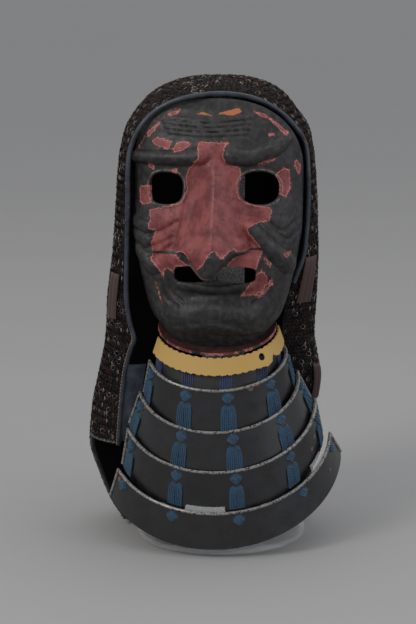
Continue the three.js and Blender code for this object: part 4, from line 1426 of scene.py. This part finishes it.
@dataclass
class MailHood:
    """The mail hood on its cloth, with a rolled leather edge, a facing and ribbed patches."""

    x: float = -4.0
    power: float = 2.2
    hem: float = 5.0
    front_hem: float = 94.0
    vent: float = 4.0
    pitch: tuple[float, float] = (4.4, 3.8)
    ring: float = 2.45
    wire: float = 0.5
    lean: float = 36.0
    flat: tuple[float, float] = (0.72, 0.52)  # the cloth's flat width and length, in metres
    area: float = 0.235  # and its flat area, in square metres
    bell: Table = Table({
        459: (0, 0, 22, 0, 0, 0), 457: (30, 27, 22, 34, 34, 30), 451: (52, 47, 22, 58, 58, 52),
        442: (68, 62, 20, 76, 76, 70), 428: (81, 74, 16, 88, 86, 88), 408: (92, 88, 9, 92, 92, 104),
        374: (98, 94.5, 2, 92, 98, 118), 330: (101, 97, 2, 90, 80, 120), 283: (105, 98, 2, 82, 66, 120),
        240: (111, 96, 8, 88, 48, 112), 200: (114, 94, 14, 88, 30, 104), 160: (122, 100, 18, 84, 20, 100),
        124: (130, 96, 22, 84, 20, 95), 88: (133, 96, 22, 80, 20, 93), 56: (124, 92, 22, 76, 20, 90),
        27: (112, 86, 22, 72, 20, 85), 0: (98, 78, 22, 66, 20, 78),
    })
    patches: tuple[tuple[str, float, float, float, float, float, int], ...] = (
        ("ribbed_patch_left", -71, -57, 222, 268, 0, 2),
        ("ribbed_patch_right_upper", 64, 82, 239, 286, 10, 3),
        ("ribbed_patch_right_lower", 70, 92, 134, 172, 0, 3),
    )
    edge: Array = field(default_factory=lambda: curve_through(OPENING, 5))

    def at(self, angle: Array, z: Array, inset: Array) -> Array:
        """Points of the bell at an angle from its front in radians and a height, drawn in by an inset.

        Args:
            angle: The angle, to the right.
            z: The height.
            inset: How far inside the bell.

        Returns:
            The points.
        """
        angle, z, inset = np.broadcast_arrays(np.asarray(angle, float), z, inset)
        left, right, y, front, front_right, back = self.bell(z)
        s, c = np.sin(angle), np.cos(angle)
        fore = lerp(front, front_right, smooth((s + 1) / 2))
        drape = 1.1 * np.sin(angle * 9 + z * 0.018) * smooth((330 - z) / 200) * smooth(-c * 3 + 0.5)
        wide = np.maximum(0, np.where(s < 0, left, right) - inset + drape)
        deep = np.maximum(0, np.where(c > 0, fore, back) - inset + drape)
        round_off = 2 / self.power
        return np.stack([self.x + wide * bend(s, round_off), y - deep * bend(c, round_off), z], axis=-1)

    def front(self, x: Array, z: Array) -> Array:
        """The point of the bell's front behind each point of a line seen from the front.

        Args:
            x: The line's places across.
            z: Its heights.

        Returns:
            The points.
        """
        low = np.where(x < self.x, -math.pi / 2, 0.0)
        high = np.where(x < self.x, 0.0, math.pi / 2)
        for _ in range(30):
            middle = (low + high) / 2
            short = self.at(middle, z, 0.0)[..., 0] < x
            low = np.where(short, middle, low)
            high = np.where(short, high, middle)
        return self.at((low + high) / 2, z, 0.0)

    def gap(self, point: Array) -> Array:
        """How far a point lies inside what is left open, negative on the hood.

        Args:
            point: The points.

        Returns:
            The distances.
        """
        reach = 200.0
        outline = np.vstack([self.edge, [(reach, self.front_hem), (reach, -reach), (-reach, -reach),
                                         (-reach, self.front_hem)]])
        open_front = depth_in(outline, point[:, 0], point[:, 2])
        return np.maximum(np.minimum(open_front, self.vent - point[:, 1]), self.hem - point[:, 2])

    def heights(self, shares: Array) -> Array:
        """Heights of the rows, closer together over the crown."""
        return 459.0 - (459.0 + 2) * (1 - np.cos(shares * math.pi / 2)) ** 0.72

    def cloth(self) -> bpy.types.Object:
        """The dark cloth that the mail is sewn on.

        Returns:
            The cloth.
        """
        def place(shares: Array) -> Array:
            """Points of the cloth."""
            return self.at(shares[:, 0] * math.tau, self.heights(shares[:, 1]), 1.7)

        form = web(190, 120, place, (700, 450), lambda s: self.gap(place(s)))
        bmesh.ops.recalc_face_normals(form, faces=form.faces)
        return Dressed("hood_cloth", Finish.CLOTH.material(), "mail", ("mail_hood",), 1.2).make(
            face_away(form, np.array([0.0, 20.0, 240.0])))

    def mail(self) -> list[bpy.types.Object]:
        """The rings, row by row round the bell, each leaning against the next.

        Returns:
            The rings, in four pieces.
        """
        dice = np.random.default_rng(SEED)
        t = np.linspace(0.01, 1, 2000)
        side = self.at(-math.pi / 2, self.heights(t), 0.0)
        run = np.concatenate([[0], np.cumsum(np.linalg.norm(np.diff(side, axis=0), axis=1))])
        levels = np.interp(np.arange(2.0, run[-1], self.pitch[1]), run, self.heights(t))
        rows = []
        for number, z in enumerate(levels):
            fine = np.linspace(0, math.tau, 721)
            loop = self.at(fine, z, 0.2)
            length = np.concatenate([[0], np.cumsum(np.linalg.norm(np.diff(loop, axis=0), axis=1))])
            count = max(4, int(length[-1] / self.pitch[0]))
            spots = (np.arange(count) + 0.5 * (number % 2)) / count * length[-1]
            angle = np.interp(spots, length, fine)
            rows.append(np.c_[angle, np.full(count, z), np.full(count, number % 2)])
        spots = np.vstack(rows)
        angle = spots[:, 0] + dice.normal(0, 0.0025, len(spots))
        z = spots[:, 1] + dice.normal(0, 0.3, len(spots))
        point = self.at(angle, z, 0.2)
        keep = self.gap(point) < -1.2
        for _, start, end, foot, top, _, _ in self.patches:
            degrees = np.degrees((angle + math.pi) % math.tau - math.pi)
            keep &= ~((degrees > start + 1) & (degrees < end - 1) & (z > foot + 2) & (z < top - 2))
        angle, z, point, odd = angle[keep], z[keep], point[keep], spots[keep, 2]
        ahead = self.at(angle + 0.01, z, 0.2) - point
        ahead /= np.linalg.norm(ahead, axis=1)[:, None]
        up = self.at(angle, z + 0.5, 0.2) - self.at(angle, z - 0.5, 0.2)
        up -= ahead * np.sum(up * ahead, axis=1)[:, None]
        up /= np.linalg.norm(up, axis=1)[:, None]
        out = np.cross(ahead, up)
        lean = np.radians(np.where(odd > 0, self.lean, -self.lean) + dice.normal(0, 9, len(out)))[:, None]
        axis = out * np.cos(lean) + ahead * np.sin(lean)
        turns = np.stack([np.cross(up, axis), up, axis], axis=-1)
        tone = dice.random(len(out))
        made = []
        bands = np.array_split(np.argsort(-z, kind="stable"), 4)
        for name, chosen in zip(("crown", "upper", "middle", "lower"), bands):
            ring = ring_template(self.ring, self.wire, 7, 3)
            mesh = copies(ring, turns[chosen], point[chosen], tone[chosen])
            made.append(Dressed(f"mail_{name}", Finish.MAIL.material(), "mail", crease=180).make(mesh))
        return made

    def piping(self) -> list[bpy.types.Object]:
        """The rolled leather edge round the face, with its stitches, and the binding of the hem.

        Returns:
            The pieces.
        """
        line = self.edge[(self.edge[:, 0] < 0) | (self.edge[:, 1] > 262)]
        path = self.front(line[:, 0], line[:, 1]) - np.array([0, 3.2, 0])
        path[:, 0] = line[:, 0]
        roll = Dressed("rolled_edge", Finish.PIPING.material(), "black_leather", ("hood_piping",)).make(
            tubes([path], 2.5, 12))
        z = np.linspace(self.front_hem, self.hem + 3, 30)
        start = self.angle_at_vent(z, left=True)
        vent = self.at(start, z, 0.6)
        hem_angles = np.linspace(start[-1], self.angle_at_vent(z[-1:], left=False)[0] - math.tau, 110)
        hem = self.at(hem_angles, self.hem + 2.0, 0.6)
        other = self.at(self.angle_at_vent(z[::-1], left=False), z[::-1], 0.6)
        front = self.at(np.linspace(start[0] + 0.62, start[0] + 0.02, 14), self.front_hem + 1.2, 0.6)
        front = front[front[:, 0] < -100]
        binding = Dressed("hem_binding", Finish.PIPING.material(), "edge_leather").make(
            tubes([np.vstack([front, vent, hem, other])], 1.8, 8))
        return [roll, binding, *self.stitches(path, np.vstack([front, vent, hem]))]

    def angle_at_vent(self, z: Array, left: bool) -> Array:
        """The angle at which the bell reaches the side vent, at each height.

        Args:
            z: The heights.
            left: Whether it is the left vent or the right one.

        Returns:
            The angles, in radians.
        """
        low = np.full(len(z), -math.pi if left else math.pi)
        high = np.full(len(z), 0.0)
        for _ in range(30):
            middle = (low + high) / 2
            behind = self.at(middle, z, 0.6)[..., 1] > self.vent + 1.5
            low = np.where(behind, middle, low)
            high = np.where(behind, high, middle)
        return (low + high) / 2

    def stitches(self, roll: Array, hem: Array) -> list[bpy.types.Object]:
        """Gold stitches along the lower left edge and the hem.

        Args:
            roll: The line of the rolled edge.
            hem: The line of the hem.

        Returns:
            The stitches, in two pieces.
        """
        low = roll[(roll[:, 2] < 215) & (roll[:, 0] < 0)]
        made = []
        for name, path, pitch, out in (("edge_stitches", low, 3.4, (-0.6, -2.3, 0)),
                                       ("hem_stitches", hem, 6.0, (0, -1.9, 0))):
            length = np.concatenate([[0], np.cumsum(np.linalg.norm(np.diff(path, axis=0), axis=1))])
            spots = np.arange(2.0, length[-1] - 1, pitch)
            point = np.stack([np.interp(spots, length, path[:, k]) for k in range(3)], axis=-1)
            after = np.stack([np.interp(spots + 1, length, path[:, k]) for k in range(3)], axis=-1)
            along = (after - point) / np.linalg.norm(after - point, axis=1)[:, None]
            away = point - np.array([self.x, 22.0, 0.0])
            away[:, 2] = 0
            away /= np.linalg.norm(away, axis=1)[:, None]
            away -= along * np.sum(away * along, axis=1)[:, None]
            away /= np.linalg.norm(away, axis=1)[:, None]
            lift = np.linalg.norm(out)
            slant = along + 0.6 * np.cross(away, along)
            slant /= np.linalg.norm(slant, axis=1)[:, None]
            turns = np.stack([slant, np.cross(away, slant), away], axis=-1)
            mesh = copies(stitch_template(2.6, 0.9), turns, point + away * (lift - 0.1),
                          np.linspace(0, 1, len(point)))
            made.append(Dressed(name, Finish.THREAD.material(), "edge_leather").make(mesh))
        return made

    def facing(self) -> bpy.types.Object:
        """The leather facing turned in behind the lower left edge.

        Returns:
            The facing.
        """
        left = self.edge[self.edge[:, 0] < 0]

        def place(shares: Array) -> Array:
            """Points of the facing."""
            z = lerp(176.0, 97.0, shares[:, 1])
            order = np.argsort(left[:, 1])
            x = np.interp(z, left[order, 1], left[order, 0])
            y = self.front(x, z)[..., 1]
            t = shares[:, 0]
            crease = 0.5 * np.sin(z * 0.23) * np.sin(t * math.pi)
            return np.stack([x + 1.6 + 17 * t, y + 2 + 7 * t * t + crease, z], axis=-1)

        form = face_away(web(14, 50, place, (17, 79)), np.array([-60.0, 40.0, 136.0]))
        dress = Dressed("leather_facing", Finish.FACING.material(), "edge_leather", ("edge_facing",), 1.5)
        return dress.make(form)

    def ribbed(self) -> list[bpy.types.Object]:
        """The ribbed leather patches let into the mail.

        Returns:
            The patches.
        """
        made = []
        for name, start, end, foot, top, lean, ribs in self.patches:
            def place(shares: Array) -> Array:
                """Points of the patch, over its ribs."""
                t = shares[:, 0]
                angle = np.radians(lerp(start, end, t) - lean * shares[:, 1])
                rib = 1.3 * np.abs(np.sin(t * ribs * math.pi)) ** 0.8
                edge = smooth(np.minimum(shares[:, 1], 1 - shares[:, 1]) * 12)
                return self.at(angle, lerp(top, foot, shares[:, 1]), -(2.0 + rib * edge))

            inside = np.array([0.0, 10.0, (top + foot) / 2])
            form = face_away(web(12 * ribs, 40, place, (20, top - foot)), inside)
            dress = Dressed(name + "_leather", Finish.BROWN.material(), "brown_leather", (name,), 1.6)
            made.append(dress.make(form))
        return made

    def build(self) -> None:
        """Build and dress the hood."""
        cloth = self.cloth()
        on_it = [*self.mail(), *self.piping(), self.facing(), *self.ribbed()]


# ---- the stand -------------------------------------------------------------------------------------


@dataclass
class ClearStand:
    """The clear stand: an oval base, an upright and a bent skirt behind the lowest lame."""

    base: tuple[float, float, float, float] = (84.0, -98.0, 92.0, 5.0)
    rounding: float = 0.7
    skirt: tuple[float, float] = (-56.0, 88.0)  # the angles that the skirt spans, from the front
    tabs: tuple[tuple[float, float], ...] = ((-2.5, 11.5), (71, 7))  # middle and half width of each tab
    inset: float = -2.8

    def build(self) -> None:
        """Build the base, the upright and the skirt."""
        clear = Finish.CLEAR.material()
        half, front, rear, thick = self.base
        form = bmesh.new()
        bmesh.ops.create_circle(form, cap_ends=True, segments=128, radius=1.0)
        bmesh.ops.scale(form, vec=(half * MM, (rear - front) / 2 * MM, 1), verts=form.verts)
        bmesh.ops.translate(form, vec=Vector((OFFSET + (0, (front + rear) / 2, 0)) * MM), verts=form.verts)
        lifted = bmesh.ops.extrude_face_region(form, geom=form.faces[:])
        tops = [item for item in lifted["geom"] if isinstance(item, bmesh.types.BMVert)]
        bmesh.ops.translate(form, vec=(0, 0, thick * MM), verts=tops)
        bmesh.ops.recalc_face_normals(form, faces=form.faces)
        Dressed("clear_base", clear, "clear_plastic", ("stand_base",), rounding=self.rounding).make(form)
        low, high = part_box("stand_upright")
        form = bmesh.new()
        bmesh.ops.create_cube(form, size=1.0)
        bmesh.ops.scale(form, vec=high - low, verts=form.verts)
        bmesh.ops.translate(form, vec=(low + high) / 2, verts=form.verts)
        Dressed("clear_upright", clear, "clear_plastic", ("stand_upright",),
                rounding=self.rounding).make(form)
        wall = RingWall(NECK["rim_d"], NECK["foot_d"])

        def place(shares: Array) -> Array:
            """Points of the skirt, with its two tabs."""
            angle = lerp(*self.skirt, shares[:, 0])
            tabs = [smooth((half - np.abs(angle - middle)) * 1.2) for middle, half in self.tabs]
            top = lerp(15.0, -3.5, np.max(tabs, axis=0))
            return wall.at(angle, lerp(top, wall.length + 2, shares[:, 1]), self.inset)

        form = face_away(web(200, 10, place, (200, 25)), np.array([0.0, 0.0, 200.0]))
        Dressed("clear_skirt", clear, "clear_plastic", ("stand_skirt",), 3.0).make(form)


# ---- the studio ------------------------------------------------------------------------------------


@dataclass
class Studio:
    """The floor, the lights and the camera."""

    azimuth: float = 7.0
    elevation: float = 10.0
    distance: float = 2400.0
    target: tuple[float, float, float] = (-13.0, -10.0, 226.0)
    height: float = 624.0  # how many millimetres at the target the frame's long side takes in
    sensor: float = 36.0

    def camera(self) -> None:
        """Set up the camera."""
        a, e = math.radians(self.azimuth), math.radians(self.elevation)
        back = Vector((math.sin(a) * math.cos(e), -math.cos(a) * math.cos(e), math.sin(e)))
        eye = bpy.data.cameras.new("camera")
        eye.sensor_fit = "AUTO"
        eye.sensor_width = self.sensor
        eye.lens = self.sensor * self.distance / self.height
        eye.clip_end = 100
        stand = bpy.data.objects.new("camera", eye)
        stand.location = Vector((np.array(self.target) + OFFSET) * MM) + back * self.distance * MM
        stand.rotation_euler = (-back).to_track_quat("-Z", "Y").to_euler()
        bpy.context.scene.collection.objects.link(stand)
        bpy.context.scene.camera = stand

    def light(self, name: str, place: tuple[float, float, float], size: float, power: float,
              colour: tuple[float, float, float]) -> None:
        """One soft square light aimed at the object.

        Args:
            name: Its name.
            place: Where it stands, in metres.
            size: Its width.
            power: Its power.
            colour: Its colour.
        """
        lamp = bpy.data.lights.new(name, "AREA")
        lamp.size = size
        lamp.energy = power
        lamp.color = colour
        holder = bpy.data.objects.new(name, lamp)
        holder.location = place
        holder.rotation_euler = (Vector((0, 0, 0.22)) - Vector(place)).to_track_quat("-Z", "Y").to_euler()
        bpy.context.scene.collection.objects.link(holder)

    def build(self) -> None:
        """Set up the camera, the floor and the lights."""
        self.camera()
        form = bmesh.new()
        bmesh.ops.create_grid(form, x_segments=2, y_segments=2, size=40.0)
        bmesh.ops.translate(form, vec=(0, 0, -0.0002), verts=form.verts)
        mesh = bpy.data.meshes.new("floor")
        form.to_mesh(mesh)
        form.free()
        floor = bpy.data.objects.new("floor", mesh)
        mesh.materials.append(Finish.GREY.material())
        bpy.context.scene.collection.objects.link(floor)
        self.light("key", (-1.3, -1.7, 1.9), 0.9, 26, (1.0, 0.97, 0.93))
        self.light("fill", (1.9, -0.9, 0.9), 1.2, 8, (0.86, 0.92, 1.0))
        self.light("top", (0.2, 0.6, 2.2), 1.6, 8, (1.0, 1.0, 1.0))
        world = bpy.data.worlds.new("studio")
        bpy.context.scene.world = world
        world.use_nodes = True
        world.node_tree.nodes["Background"].inputs["Color"].default_value = (0.55, 0.56, 0.58, 1)
        world.node_tree.nodes["Background"].inputs["Strength"].default_value = 1.0
        bpy.context.scene.view_settings.view_transform = "Standard"


def main() -> None:
    """Build the studio and the object."""
    logging.basicConfig(level=logging.INFO, format="%(name)s: %(message)s")
    Studio().build()
    FaceMask().build()
    ThroatGuard().build()
    MailHood().build()
    ClearStand().build()


if __name__ == "__main__":
    main()
